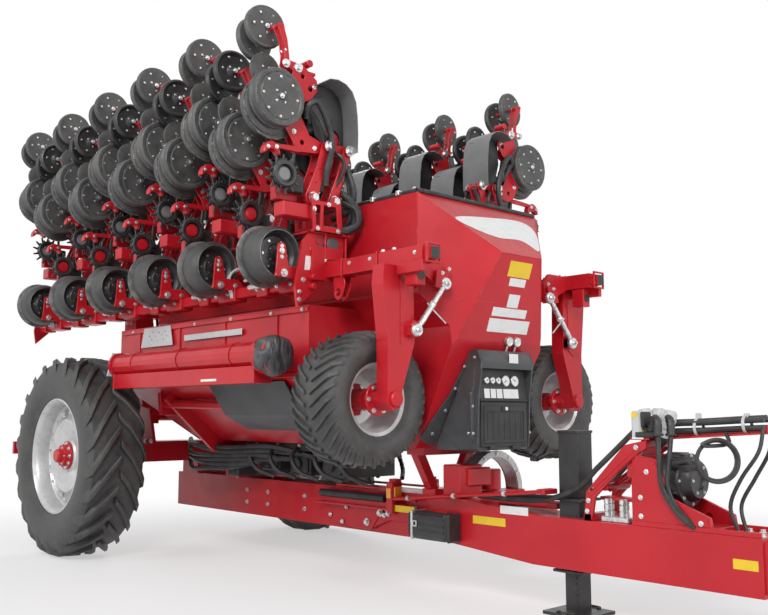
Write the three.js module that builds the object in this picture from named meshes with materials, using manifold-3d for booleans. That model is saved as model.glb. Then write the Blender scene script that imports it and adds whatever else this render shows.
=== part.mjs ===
// A twelve-row precision seed drill, folded for the road and standing on its jack.
// Millimetres. +X is forward (drawbar), +Y is left, +Z is up, and the ground is z = 0.
// Stations along X are counted from the rear axle; the whole drill is centred on X at the end.
// Pieces that exist on both sides are drawn on the left and mirrored for the right.
import * as THREE from "three";
import { mergeVertices } from "three/addons/utils/BufferGeometryUtils.js";
import Module from "manifold-3d";

const wasm = await Module();
wasm.setup();

// ---- driving dimensions ------------------------------------------------------------------
const GAP = 0.3; // between pieces that touch
const RUNNING_GAP = 0.5; // round a pin
const CLEAR = 6; // between pieces that move past each other

// row units and wings
const ROWS = 6; // on each wing
const ROW_SPACING = 750;
const ROW_FRONT = 2800; // station of the front row
const TUBE = 150; // wing tube, square
const TUBE_U = 800; // its centre, out from the middle
const TUBE_Z = 2270;
const TUBE_FRONT = ROW_FRONT + 30;
const BAR = 80; // lower bar that carries the fertiliser coulters
const BAR_U = 1000;
const BAR_Z = 2020;
const END_PLATE = 20;
const ARM_LIFT = 370; // height of the parallel linkage
const GAUGE_R = 200;
const GAUGE_U = 1270;
const GAUGE_Z = 3195;
const CLOSING_R = 150;
const CLOSING_U = 1258;
const CLOSING_Z = 3730;
const COULTER_R = 190;
const COULTER_U = 1180;
const COULTER_Z = 2200;
const COULTER_WIDE = 190;

// fold and tilt
const ROW_OFFSET = -120; // from the linkage to the line that the row sows
// unfolded, the innermost row is half a spacing from the middle
const FOLD_X = ROW_FRONT + ROW_OFFSET - ROW_SPACING * (ROWS - 1) + TUBE_U - ROW_SPACING / 2;
const FOLD_PIN_R = 35;
const LUG = 80; // thickness of a fold lug
const WING_REAR = FOLD_X - TUBE_U + CLEAR; // unfolded, the two wings end beside each other
const TILT_X = -220;
const TILT_Z = 1150;
const TILT_PIN_R = 45;

// rear wheels
const TRACK = 1260; // middle of the tyre, out from the middle
const TYRE_R = 823;
const TYRE_W = 480;
const RIM_R = 450;
const RIM_W = 400;
const AXLE = 150; // axle tube, square

// support wheels, carried in front of the wings
const SUPPORT_X = 3230;
const SUPPORT_U = 900;
const SUPPORT_Z = 1260;
const SUPPORT_R = 420;
const SUPPORT_W = 400;
const SUPPORT_RIM_R = 205;
const STUB_R = 35;

// drawbar
const BEAM_HALF = 145;
const BEAM_FRONT = 5370;
const BEAM_REAR = -260;
const BEAM_TOP = 630;
const BEAM_NOSE_TOP = 565;
const BEAM_NOSE_LOW = 275;
const BEAM_LOW = 330;

// parking jack
const JACK_X = 4170;
const JACK = 140; // square sleeve
const JACK_WALL = 10;
const JACK_TOP = 1070;
const JACK_LOW = 255;
const LEG = JACK - 2 * JACK_WALL - 15; // stands clear inside the sleeve
const FOOT = 300;
const FOOT_T = 20;

// hopper
const TANK_WALL = 10;
const TANK_REAR = 150;
const TANK_TOP = 2580;
const TANK_HALF = 620;
const BELLY_HALF = 970;
const BELLY_TOP = 1880;
const BELLY_FRONT = 2800;
const BELLY_KNEE = 1400;
const TANK_LOW = 950;
const TANK_LOW_HALF = 400;
const NOSE_X = 3790;
const LID_HALF = 410;
const LID_T = 40;
const LUG_IN = 305; // the hinge lugs of a lid, out from the middle
const LUG_OUT = 325;
const LIDS = [
  ["rear_lid", 330, 1730],
  ["front_lid", 1900, 3260],
];

// ---- finishes ----------------------------------------------------------------------------
const finish = (color, roughness, metalness) => ({ color, roughness, metalness });
const RED = finish(0xb3121c, 0.35, 0.1);
const ANTHRACITE = finish(0x3a3c3f, 0.5, 0.1);
const BLACK = finish(0x17181a, 0.55, 0.1);
const RUBBER = finish(0x202122, 0.85, 0);
const SILVER = finish(0xb4b6b8, 0.4, 0.8);

// ---- solids ------------------------------------------------------------------------------
function solid(geometry) {
  const bare = geometry.clone();
  bare.deleteAttribute("normal");
  bare.deleteAttribute("uv");
  const merged = mergeVertices(bare, 1e-3);
  const index = merged.index.array;
  const kept = [];
  for (let i = 0; i < index.length; i += 3) {
    const [a, b, c] = [index[i], index[i + 1], index[i + 2]];
    if (a !== b && b !== c && c !== a) kept.push(a, b, c);
  }
  const vertProperties = new Float32Array(merged.attributes.position.array);
  return new wasm.Manifold(new wasm.Mesh({ numProp: 3, vertProperties, triVerts: new Uint32Array(kept) }));
}

function box(x0, x1, y0, y1, z0, z1) {
  const shape = new THREE.BoxGeometry(x1 - x0, y1 - y0, z1 - z0);
  return solid(shape.translate((x0 + x1) / 2, (y0 + y1) / 2, (z0 + z1) / 2));
}

// Carries a shape drawn in (a, b) and grown along c to an outline seen along one axis:
// x: (a, b) = (y, z); y: (a, b) = (x, z); z: (a, b) = (x, y).
const TURN = {
  x: new THREE.Matrix4().makeBasis(
    new THREE.Vector3(0, 1, 0), new THREE.Vector3(0, 0, 1), new THREE.Vector3(1, 0, 0)),
  y: new THREE.Matrix4().makeBasis(
    new THREE.Vector3(1, 0, 0), new THREE.Vector3(0, 0, 1), new THREE.Vector3(0, -1, 0)),
  z: new THREE.Matrix4(),
};

function prism(axis, low, high, points) {
  const outline = new THREE.Shape(points.map(([a, b]) => new THREE.Vector2(a, b)));
  const grown = new THREE.ExtrudeGeometry(outline, { depth: high - low, bevelEnabled: false });
  grown.translate(0, 0, axis === "y" ? -high : low);
  return solid(grown.applyMatrix4(TURN[axis]));
}

// A many-sided bar whose flats, and not its corners, lie this far from its middle.
const acrossFlats = (radius, sides) => radius / Math.cos(Math.PI / sides);

// A round bar along an axis; (a, b) is its centre in the same view as prism's.
function round(axis, low, high, a, b, radius, sides = 14, phase = 0.5) {
  const points = [];
  for (let i = 0; i < sides; i++) {
    const turn = ((i + phase) / sides) * 2 * Math.PI;
    points.push([a + radius * Math.cos(turn), b + radius * Math.sin(turn)]);
  }
  return prism(axis, low, high, points);
}

// What is cut away for a pin of this radius to turn in.
function pinHole(axis, low, high, a, b, radius, sides = 14) {
  return round(axis, low, high, a, b, acrossFlats(radius + RUNNING_GAP, sides), sides, 0);
}

// A round bar between any two points.
function rod(from, to, radius, sides = 8) {
  const start = new THREE.Vector3(...from);
  const along = new THREE.Vector3(...to).sub(start);
  const bar = new THREE.CylinderGeometry(radius, radius, along.length(), sides);
  bar.translate(0, along.length() / 2, 0);
  const up = new THREE.Vector3(0, 1, 0);
  bar.applyQuaternion(new THREE.Quaternion().setFromUnitVectors(up, along.normalize()));
  return solid(bar.translate(start.x, start.y, start.z));
}

// A turned piece: the profile is (radius, distance along the axis).
function turned(axis, a, b, profile, sides, closed) {
  const points = profile.map(([r, l]) => new THREE.Vector2(r, l));
  if (closed) points.push(points[0].clone());
  const shape = new THREE.LatheGeometry(points, sides, Math.PI / sides);
  // the lathe turns about Y: carry that axis to the wanted one
  if (axis === "x") shape.rotateZ(-Math.PI / 2).translate(0, a, b);
  if (axis === "y") shape.translate(a, 0, b);
  if (axis === "z") shape.rotateX(Math.PI / 2).translate(a, b, 0);
  const made = solid(shape);
  return made.volume() < 0 ? solid(flipped(shape)) : made;
}

function flipped(geometry) {
  const turnedOver = geometry.clone();
  const index = turnedOver.index ? Array.from(turnedOver.index.array)
    : Array.from({ length: turnedOver.attributes.position.count }, (_, i) => i);
  for (let i = 0; i < index.length; i += 3) [index[i], index[i + 1]] = [index[i + 1], index[i]];
  turnedOver.setIndex(index);
  return turnedOver;
}

const join = (...pieces) => pieces.reduce((whole, piece) => whole.add(piece));
const cut = (whole, ...tools) => tools.reduce((left, tool) => left.subtract(tool), whole);

function geometryOf(piece) {
  const { vertProperties, triVerts } = piece.getMesh();
  const geometry = new THREE.BufferGeometry();
  geometry.setAttribute("position", new THREE.BufferAttribute(vertProperties, 3));
  geometry.setIndex(new THREE.BufferAttribute(triVerts, 1));
  geometry.computeVertexNormals();
  return geometry;
}

// ---- assembly ----------------------------------------------------------------------------
const drill = new THREE.Group();
drill.name = "seed_drill";

function add(name, piece, look) {
  const mesh = new THREE.Mesh(geometryOf(piece), new THREE.MeshStandardMaterial(look));
  mesh.name = name;
  drill.add(mesh);
}

// The left piece as drawn, and its mirror image on the right.
function addPair(name, piece, look) {
  add(`left_${name}`, piece, look);
  const mirrored = flipped(geometryOf(piece).scale(1, -1, 1));
  mirrored.computeVertexNormals();
  const mesh = new THREE.Mesh(mirrored, new THREE.MeshStandardMaterial(look));
  mesh.name = `right_${name}`;
  drill.add(mesh);
}

// The outline with every edge moved inwards by d (points counter-clockwise).
function inset(points, d) {
  const count = points.length;
  const edges = points.map(([x, y], i) => {
    const [u, v] = points[(i + 1) % count];
    const long = Math.hypot(u - x, v - y);
    const [nx, ny] = [-(v - y) / long, (u - x) / long];
    return { nx, ny, c: nx * x + ny * y + d };
  });
  return points.map((_, i) => {
    const e = edges[(i + count - 1) % count];
    const f = edges[i];
    const det = e.nx * f.ny - f.nx * e.ny;
    return [(e.c * f.ny - f.c * e.ny) / det, (e.nx * f.c - f.nx * e.c) / det];
  });
}

const bothSides = (points) => [...points, ...points.map(([a, b]) => [-a, b]).reverse()];

// ---- drawbar and axle --------------------------------------------------------------------
function mainBeam() {
  const side = prism("y", -BEAM_HALF, BEAM_HALF, [
    [BEAM_REAR, BEAM_LOW], [3300, BEAM_LOW], [3950, BEAM_NOSE_LOW], [BEAM_FRONT, BEAM_NOSE_LOW],
    [BEAM_FRONT, BEAM_NOSE_TOP], [4000, BEAM_NOSE_TOP], [3250, BEAM_TOP], [BEAM_REAR, BEAM_TOP],
  ]);
  const hole = JACK / 2 + GAP;
  return cut(side, box(JACK_X - hole, JACK_X + hole, -hole, hole, 0, BEAM_TOP + 10));
}

function drawbarEye() {
  const plateFront = BEAM_FRONT + 30;
  const eyeX = BEAM_FRONT + 230;
  const middle = (BEAM_NOSE_LOW + BEAM_NOSE_TOP) / 2;
  const ring = cut(
    round("z", middle - 30, middle + 30, eyeX, 0, 85, 20),
    round("z", middle - 31, middle + 31, eyeX, 0, 27, 16));
  return join(
    box(BEAM_FRONT + GAP, plateFront, -130, 130, middle - 125, middle + 125),
    prism("z", middle - 40, middle + 40, [
      [plateFront - 5, -70], [eyeX - 50, -45], [eyeX - 50, 45], [plateFront - 5, 70]]),
    ring);
}

const AXLE_LOW = TYRE_R - AXLE / 2;
const AXLE_TOP = TYRE_R + AXLE / 2;
const SPINDLE_R = 60;
const SPINDLE_END = TRACK + 65;

function rearAxle() {
  const half = 930;
  const lampX = -TYRE_R - 130;
  let axle = join(
    box(-AXLE / 2, AXLE / 2, -half, half, AXLE_LOW, AXLE_TOP),
    box(-130, 130, -BEAM_HALF - 30, BEAM_HALF + 30, BEAM_TOP + GAP, AXLE_LOW + 10));
  for (const s of [-1, 1]) {
    const spindle = [s * (half - 5), s * SPINDLE_END].sort((a, b) => a - b);
    const arm = [s * 900, s * 930].sort((a, b) => a - b);
    const board = [s * 905, s * 1440].sort((a, b) => a - b);
    axle = join(axle,
      round("y", ...spindle, 0, TYRE_R, SPINDLE_R),
      box(lampX, 0, ...arm, AXLE_TOP - 60, AXLE_TOP),
      box(lampX - 30, lampX + 5, ...board, AXLE_TOP - 90, AXLE_TOP + 20));
  }
  return axle;
}

function rearTower() {
  let tower = box(-150, 150, -640, 640, AXLE_TOP + GAP, AXLE_TOP + 30);
  for (const s of [-1, 1]) {
    const plate = [s * 612, s * 640].sort((a, b) => a - b);
    tower = tower.add(prism("y", ...plate, [
      [-150, AXLE_TOP + 25], [150, AXLE_TOP + 25], [60, TILT_Z + 60], [TILT_X + 50, TILT_Z + 100],
      [TILT_X - 50, TILT_Z + 100], [TILT_X - 90, TILT_Z],
    ]));
  }
  return cut(tower, pinHole("y", -700, 700, TILT_X, TILT_Z, TILT_PIN_R));
}

// ---- wheels ------------------------------------------------------------------------------
// Profiles are (radius, distance out from the wheel's middle); the outside is at the end.
function tyre(radius, width, rimRadius, rimWidth) {
  const half = width / 2;
  const seat = rimRadius + GAP;
  const lip = rimRadius + 25;
  const tall = radius - lip;
  const side = (share, out) => [lip + tall * share, out];
  return [
    [seat, -rimWidth / 2 + 26], [seat, rimWidth / 2 - 26], [lip, rimWidth / 2 - 12],
    side(0.12, half * 0.88), side(0.45, half), side(0.75, half * 0.97), side(0.94, half * 0.88),
    [radius, half * 0.7], [radius, -half * 0.7], side(0.94, -half * 0.88), side(0.75, -half * 0.97),
    side(0.45, -half), side(0.12, -half * 0.88), [lip, -rimWidth / 2 + 12],
  ];
}

// A rim with its disc and hub; the hub has a blind bore for the spindle.
function rim(rimRadius, rimWidth, disc, hubR, hubBack, cap, boreR, boreEnd) {
  const half = rimWidth / 2;
  const lip = rimRadius + 24;
  const inner = rimRadius - 14;
  return [
    [0, cap], [hubR * 0.85, cap], [hubR * 0.85, disc + 12], [inner, disc + 12], [inner, half],
    [lip, half], [lip, half - 12], [rimRadius, half - 24], [rimRadius, -half + 24],
    [lip, -half + 12], [lip, -half], [inner, -half], [inner, disc], [hubR, disc],
    [hubR, hubBack], [boreR, hubBack], [boreR, boreEnd], [0, boreEnd],
  ];
}

const bore = (pin, sides) => acrossFlats(pin + RUNNING_GAP, sides);

const shifted = (profile, by) => profile.map(([r, l]) => [r, l + by]);

function addRearWheels() {
  const sides = 24;
  const profile = tyre(acrossFlats(TYRE_R, sides), TYRE_W, RIM_R, RIM_W);
  addPair("rear_tyre", turned("y", 0, TYRE_R, shifted(profile, TRACK), sides, true), RUBBER);
  const disc = rim(RIM_R, RIM_W, 70, 110, -60, 145, bore(SPINDLE_R, sides), 65 + CLEAR);
  addPair("rear_rim", turned("y", 0, TYRE_R, shifted(disc, TRACK), sides, false), SILVER);
}

function addSupportWheels() {
  const sides = 18;
  const profile = tyre(SUPPORT_R, SUPPORT_W, SUPPORT_RIM_R, 330);
  addPair("support_tyre",
    turned("x", SUPPORT_U, SUPPORT_Z, shifted(profile, SUPPORT_X), sides, true), RUBBER);
  // the disc lies towards the back, and the spindle comes in from the front
  const disc = rim(SUPPORT_RIM_R, 330, 40, 70, -80, 52, bore(STUB_R, sides), 40);
  const flippedOver = disc.map(([r, l]) => [r, SUPPORT_X - l]);
  addPair("support_rim",
    turned("x", SUPPORT_U, SUPPORT_Z, flippedOver, sides, false), SILVER);
}

// ---- hopper ------------------------------------------------------------------------------
const SLOPE_LOW = [3250, 1000]; // the lower front wall, behind the console
const SLOPE_HIGH = [3600, 1640];

function tankShell(d, top) {
  const side = inset([
    [TANK_REAR, 1500], [520, TANK_LOW], [3200, TANK_LOW], SLOPE_LOW, SLOPE_HIGH,
    [NOSE_X, 2190], [3430, TANK_TOP], [TANK_REAR, TANK_TOP],
  ], d);
  const plan = inset([
    [TANK_REAR, -TANK_HALF], [3440, -TANK_HALF + 20], [NOSE_X, -200], [NOSE_X, 200],
    [3440, TANK_HALF - 20], [TANK_REAR, TANK_HALF],
  ], d);
  const front = inset(bothSides([
    [TANK_LOW_HALF, TANK_LOW], [450, 1720], [TANK_HALF, 1960], [TANK_HALF, TANK_TOP],
  ]), d);
  const belly = inset(bothSides([
    [TANK_LOW_HALF, TANK_LOW], [BELLY_HALF, BELLY_KNEE], [BELLY_HALF, BELLY_TOP],
  ]), d);
  return prism("y", -1500, 1500, side)
    .intersect(prism("z", 0, top, plan))
    .intersect(prism("x", 0, 4000, front))
    .add(prism("x", TANK_REAR + d, BELLY_FRONT - d, belly)
      .intersect(prism("y", -1500, 1500, side)));
}

function hopperTank() {
  let tank = cut(tankShell(0, TANK_TOP), tankShell(TANK_WALL, TANK_TOP));
  for (const [, back, front] of LIDS) {
    const mouth = box(back + 50, front - 30, -LID_HALF + 30, LID_HALF - 30,
      TANK_TOP - 30, TANK_TOP + 60);
    tank = cut(tank, mouth);
    for (const s of [-1, 1]) {
      const lug = [s * LUG_IN, s * LUG_OUT].sort((a, b) => a - b);
      tank = tank.add(box(back - 30, back + 5, ...lug, TANK_TOP - 5, TANK_TOP + 40));
    }
  }
  return tank;
}

// The upper bin stands on the wider belly.
function hopperTop() {
  return hopperTank().intersect(box(0, 4000, -1500, 1500, BELLY_TOP + GAP, 3000));
}

function hopperBelly() {
  return hopperTank().intersect(box(0, 4000, -1500, 1500, 0, BELLY_TOP));
}

// A lid turns about the pins at its rear edge, and is notched round the lugs of the tank.
function lid(back, front) {
  const low = TANK_TOP + GAP;
  let made = box(back + 15, front, -LID_HALF, LID_HALF, low, low + LID_T);
  for (const s of [-1, 1]) {
    const barrel = [s * 150, s * (LUG_IN - RUNNING_GAP)].sort((a, b) => a - b);
    const notch = [s * (LUG_IN - 0.5), s * (LUG_OUT + CLEAR)].sort((a, b) => a - b);
    made = cut(made, box(back, back + 45, ...notch, low - 1, low + LID_T + 1));
    made = join(made,
      round("y", ...barrel, back, TANK_TOP + 20, 14),
      box(back, back + 20, ...barrel, TANK_TOP + 12, TANK_TOP + 28));
  }
  return made;
}

function tankFrame() {
  const low = BEAM_TOP + GAP;
  const high = TANK_LOW - GAP;
  const slope = (BELLY_HALF - TANK_LOW_HALF) / (BELLY_KNEE - TANK_LOW);
  const knee = BELLY_KNEE - 60;
  const under = TANK_LOW_HALF + 4 + slope * (knee - TANK_LOW);
  return join(
    box(560, 900, -BEAM_HALF, BEAM_HALF, low, high),
    prism("x", 860, 900, bothSides([
      [230, low], [under + 40, knee - 60], [under, knee], [TANK_LOW_HALF + 4, TANK_LOW],
      [TANK_LOW_HALF + 4, high]])));
}

function frontStruts() {
  const high = TANK_LOW - GAP;
  const low = BEAM_TOP - 22;
  let frame = box(3020, 3180, -300, 300, high - 50, high);
  for (const s of [-1, 1]) {
    frame = frame.add(prism("x", 3040, 3100, [
      [s * 60, low + 28], [s * 130, low + 28], [s * 300, high - 20], [s * 220, high - 20]]));
  }
  return frame.add(box(3010, 3130, -BEAM_HALF, BEAM_HALF, low + 22 + GAP, low + 60));
}

const consoleBack = (z) =>
  SLOPE_LOW[0] + ((SLOPE_HIGH[0] - SLOPE_LOW[0]) * (z - SLOPE_LOW[1])) / (SLOPE_HIGH[1] - SLOPE_LOW[1]);

const CONSOLE_HALF = 245;
const CONSOLE_FRONT = 3650;
const DOOR_T = 22;
const DOOR_LOW = 960;
const DOOR_TOP = 1250;

function control() {
  const back = (z) => consoleBack(z) + 1;
  const body = prism("y", -CONSOLE_HALF, CONSOLE_HALF, [
    [back(1000), 1000 - 60], [CONSOLE_FRONT - 40, 940], [CONSOLE_FRONT - 40, 1280],
    [CONSOLE_FRONT - 60, 1470], [CONSOLE_FRONT + 10, 1500], [CONSOLE_FRONT - 20, 1575],
    [back(1575), 1575], [back(1000), 1000],
  ]);
  const store = box(3400, CONSOLE_FRONT, -210, 210, DOOR_LOW + 10, DOOR_TOP - 10);
  return cut(body, store);
}

function toolBoxDoor() {
  const back = CONSOLE_FRONT - 40 + GAP;
  const pinZ = DOOR_LOW - 8;
  return join(
    box(back, back + DOOR_T, -225, 225, DOOR_LOW, DOOR_TOP),
    box(back + 4, back + DOOR_T, -150, 150, pinZ, DOOR_LOW + 2),
    round("y", -150, 150, back + DOOR_T / 2, pinZ, 9, 10),
    box(back + DOOR_T - 2, back + DOOR_T + 12, -20, 20, DOOR_TOP - 60, DOOR_TOP - 25));
}

function meteringUnit() {
  const high = TANK_LOW - GAP;
  let unit = box(1150, 2450, -340, 340, high - 60, high);
  for (const x of [1250, 1650, 2050]) {
    unit = unit.add(box(x, x + 260, -250, 250, 700, high - 50));
  }
  return unit;
}

function seedFan() {
  const base = BEAM_TOP + GAP;
  const arch = [];
  const [cy, cz, outer, inner] = [190, 655, 270, 190];
  for (let i = 0; i <= 12; i++) {
    const turn = (i / 12) * Math.PI;
    arch.push([cy + outer * Math.cos(turn), cz + outer * Math.sin(turn)]);
  }
  for (let i = 12; i >= 0; i--) {
    const turn = (i / 12) * Math.PI;
    arch.push([cy + inner * Math.cos(turn), cz + inner * Math.sin(turn)]);
  }
  return join(
    prism("x", 3270, 3390, arch),
    box(3240, 3420, -200, 90, base, 850),
    box(3250, 3410, 60, 470, 600, 660).subtract(box(3200, 3500, 0, BEAM_HALF + GAP, 500, 640)));
}

// ---- front of the drawbar ----------------------------------------------------------------
function pumpBracket() {
  const low = BEAM_NOSE_TOP + GAP;
  let bracket = box(4640, 5110, -BEAM_HALF, BEAM_HALF, low, low + 20);
  for (const s of [-1, 1]) {
    const plate = [s * 120, s * 140].sort((a, b) => a - b);
    bracket = join(bracket,
      prism("y", ...plate, [
        [4640, low + 10], [5110, low + 10], [5100, 640], [4880, 730], [4800, 930], [4670, 950],
        [4640, 800]]),
      prism("y", ...plate, [
        [4320, low], [4375, low], [4400, 700], [4640, 930], [4740, 985], [4740, 1030], [4600, 1000],
        [4340, 730]]));
  }
  return join(bracket,
    box(4320, 4375, -140, 140, low, low + 40),
    box(4640, 4690, -130, 130, 780, 950),
    box(4700, 4740, -130, 130, 990, 1030));
}

function pumpDrum() {
  return join(
    round("x", 4770, 5130, 0, 820, 118, 20),
    round("x", 4890, 5070, 0, 820, 150, 20),
    round("x", 4690 + GAP, 4780, 0, 820, 60, 12));
}

function connectorRack() {
  const low = 1030 + GAP;
  return join(
    prism("y", -12, 12, [[4700, low], [4740, low], [5360, 1075], [5360, 1115], [4700, 1090]]),
    box(4640, 4760, -140, 140, low, low + 30),
    box(4650, 4690, -140, 140, low + 20, low + 170));
}

function couplers() {
  const low = BEAM_NOSE_TOP + GAP;
  let block = box(4410, 4590, -100, -20, low, low + 30);
  for (const [x, y] of [[4440, -80], [4440, -40], [4540, -80], [4540, -40]]) {
    block = block.add(round("z", low + 20, low + 130, x, y, 17, 10));
  }
  return block;
}

function jackSleeve() {
  const half = JACK / 2;
  const hollow = half - JACK_WALL;
  return cut(
    box(JACK_X - half, JACK_X + half, -half, half, JACK_LOW, JACK_TOP),
    box(JACK_X - hollow, JACK_X + hollow, -hollow, hollow, 0, JACK_TOP - JACK_WALL));
}

function jackLeg() {
  const half = LEG / 2;
  const guide = JACK / 2 - JACK_WALL - RUNNING_GAP;
  return join(
    box(JACK_X - half, JACK_X + half, -half, half, FOOT_T - 5, 700),
    box(JACK_X - guide, JACK_X + guide, -guide, guide, 640, 700),
    box(JACK_X - FOOT / 2, JACK_X + FOOT / 2, -FOOT / 2, FOOT / 2, 0, FOOT_T));
}

// ---- along the sides ---------------------------------------------------------------------
function fillingAuger() {
  const u = -1180;
  const z = 1560;
  let auger = join(
    round("x", 560, 2630, u, z, 85, 14),
    box(620, 2600, u - 75, u + 60, 1370, 1480),
    round("x", 2620, 2760, u, z - 15, 125, 14));
  for (const x of [700, 1500, 2400]) {
    auger = auger.add(box(x, x + 60, u, -BELLY_HALF - GAP, 1420, 1540));
  }
  return auger;
}

function sideBracket() {
  const inner = BEAM_HALF + GAP;
  return join(
    prism("y", inner, inner + 25, [
      [1950, 430], [2150, 360], [2480, 345], [2700, 430], [2930, 440], [2950, 520], [2700, 590],
      [2050, 590]]),
    box(2740, 2800, inner, inner + 60, 480, 720),
    box(2040, 2740, inner, inner + 60, 500, 560),
    box(2720, 2960, inner + 10, inner + 40, 480, 530));
}

function controlRod() {
  const y = -BEAM_HALF - 75;
  const from = [2790, y, 585];
  const sleeve = JACK_X - JACK / 2; // its rear face
  const to = [sleeve - 20, y, 715];
  const link = rod(from, to, 13, 8);
  return join(link,
    box(sleeve - 50, sleeve + 10, y - 8, -JACK / 2 - GAP, 700, 730),
    box(2760, 2800, y - 12, y + 9, 570, 600));
}

function canister() {
  return box(2980, 3370, -BEAM_HALF - 130, -BEAM_HALF - GAP, 345, 530);
}

// ---- carrier and wings -------------------------------------------------------------------
const LUG_FRONT = FOLD_X + TUBE / 2 + 30;

function carrier() {
  const back = LUG_FRONT;
  const front = back + 220;
  let frame = round("y", -641, 641, TILT_X, TILT_Z, TILT_PIN_R, 14);
  for (const s of [-1, 1]) {
    const arm = [s * 430, s * 600].sort((a, b) => a - b);
    frame = frame.add(prism("y", ...arm, [
      [TILT_X - 70, TILT_Z - 70], [TILT_X + 70, TILT_Z - 70], [TILT_X + 90, TILT_Z + 40],
      [front, 1960], [front, 2570], [back, 2570], [back, 1960], [TILT_X - 100, TILT_Z]]));
    for (const z of [TUBE_Z - TUBE / 2 - CLEAR - LUG, TUBE_Z + TUBE / 2 + CLEAR]) {
      const lug = prism("z", z, z + LUG, [
        [back + 20, s * 420], [front - 20, s * 420], [front - 20, s * 640], [FOLD_X + 80, s * TUBE_U],
        [FOLD_X + 40, s * (TUBE_U + 70)], [FOLD_X - 40, s * (TUBE_U + 70)],
        [FOLD_X - 80, s * TUBE_U], [FOLD_X - 50, s * (TUBE_U - 70)], [back - 10, s * 690],
      ]);
      frame = frame.add(lug);
    }
  }
  frame = join(frame,
    box(back + 40, front - 40, -500, 500, 2070, 2170),
    box(back + 40, front - 40, -500, 500, 2400, 2500));
  for (const s of [-1, 1]) {
    frame = cut(frame,
      pinHole("z", 1900, 2700, FOLD_X, s * TUBE_U, FOLD_PIN_R, 12));
  }
  return frame;
}

function toolbar() {
  const half = TUBE / 2;
  const plate = [
    [TUBE_U - half - 5, TUBE_Z - half - 5], [BAR_U + 100, BAR_Z - 170], [BAR_U + 120, BAR_Z - 40],
    [BAR_U + 60, TUBE_Z + 20], [BAR_U + 10, TUBE_Z + half], [TUBE_U - half - 5, TUBE_Z + half]];
  const pinHigh = LUG + CLEAR + half;
  let bar = join(
    box(WING_REAR, TUBE_FRONT, TUBE_U - half, TUBE_U + half, TUBE_Z - half, TUBE_Z + half),
    round("z", TUBE_Z - pinHigh, TUBE_Z + pinHigh, FOLD_X, TUBE_U, FOLD_PIN_R, 12),
    prism("x", TUBE_FRONT - 2, TUBE_FRONT + END_PLATE, plate),
    prism("x", WING_REAR, WING_REAR + END_PLATE, plate));
  for (let i = 0; i < ROWS; i++) {
    const x = ROW_FRONT - 300 - i * ROW_SPACING;
    bar = bar.add(prism("x", x, x + 16, [
      [TUBE_U + half - 5, TUBE_Z - half + 5], [BAR_U - BAR / 2 - GAP, BAR_Z - 20],
      [BAR_U - BAR / 2 - GAP, BAR_Z + 40], [BAR_U - BAR / 2, BAR_Z + BAR / 2 + GAP],
      [BAR_U + 20, BAR_Z + BAR / 2 + GAP], [TUBE_U + half - 5, TUBE_Z + half - 5]]));
  }
  return bar;
}

function coulterGang() {
  const half = BAR / 2;
  let gang = box(WING_REAR + END_PLATE + GAP, TUBE_FRONT - 2 - GAP,
    BAR_U - half, BAR_U + half, BAR_Z - half, BAR_Z + half);
  for (let i = 0; i < ROWS; i++) {
    const face = ROW_FRONT - 35 - i * ROW_SPACING;
    gang = join(gang,
      round("x", face - COULTER_WIDE, face, COULTER_U, COULTER_Z, COULTER_R, 12),
      prism("x", face - 5, face + 25, [
        [BAR_U - 30, BAR_Z + half - 5], [BAR_U + half, BAR_Z + half - 5],
        [COULTER_U + 40, COULTER_Z - 20], [COULTER_U + 40, COULTER_Z + 40],
        [COULTER_U - 40, COULTER_Z + 40], [BAR_U + 60, BAR_Z + 150]]),
      box(face - 180, face + 25, BAR_U - half - 15, BAR_U + half + 15,
        BAR_Z - half - 15, BAR_Z + half + 15));
  }
  return gang;
}

const SHORT_DROP = 200; // a short unit sits this much lower than a long one
const SHORT_BACK = ROW_SPACING / 2; // and stands half way to the next long one
const LINK_FOOT = 2580; // lower pins of a long unit's parallel linkage

// Everything of a row unit above its linkage, for a unit at station x.
function opener(x, drop, closingWide) {
  const high = (points) => points.map(([u, z]) => [u, z - drop]);
  const armTop = LINK_FOOT + ARM_LIFT;
  const shank = prism("x", x - 30, x + 12, high([
    [640, armTop - 40], [900, armTop - 20], [1130, 3080], [GAUGE_U + 40, GAUGE_Z - 30],
    [GAUGE_U + 40, GAUGE_Z + 30], [1120, 3330], [1060, 3480], [CLOSING_U + 20, CLOSING_Z - 20],
    [CLOSING_U - 30, CLOSING_Z + 20], [960, 3560], [880, 3380], [900, 3200], [700, armTop + 60]]));
  const cover = prism("x", x - 140, x + 140, high([
    [650, 2925], [790, 2925], [930, 3010], [975, 3330], [860, 3410], [730, 3380], [660, 3240]]));
  return join(shank, cover,
    round("x", x - 110, x + 80, GAUGE_U, GAUGE_Z - drop, GAUGE_R, 12),
    round("x", x - 110 - closingWide, x - 110, CLOSING_U, CLOSING_Z - drop, CLOSING_R, 10),
    round("x", x - 130, x + 5, CLOSING_U, CLOSING_Z - drop, 30, 6),
    round("x", x, x + 100, 1240, 2690 - drop, 125, 8));
}

function longUnit(x) {
  const low = TUBE_Z + TUBE / 2 + GAP;
  const armTop = LINK_FOOT + ARM_LIFT;
  const link = (u) => prism("x", x - 60, x + 40, [
    [u - 30, LINK_FOOT - 30], [u + 30, LINK_FOOT - 30], [u - 100, armTop + 20],
    [u - 160, armTop + 20]]);
  const head = cut(
    box(x - 120, x + 90, TUBE_U - 85, 1010, low, LINK_FOOT + 10),
    box(x - 200, x + 200, TUBE_U - 55, 900, low + 60, LINK_FOOT - 40));
  const cleaner = prism("x", x - 20, x + 15, [
    [980, 2440], [1320, 2470], [1340, 2720], [1260, 2720], [1230, 2560], [980, 2540]]);
  return join(opener(x, 0, 210), head, link(990), link(810), cleaner);
}

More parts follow.
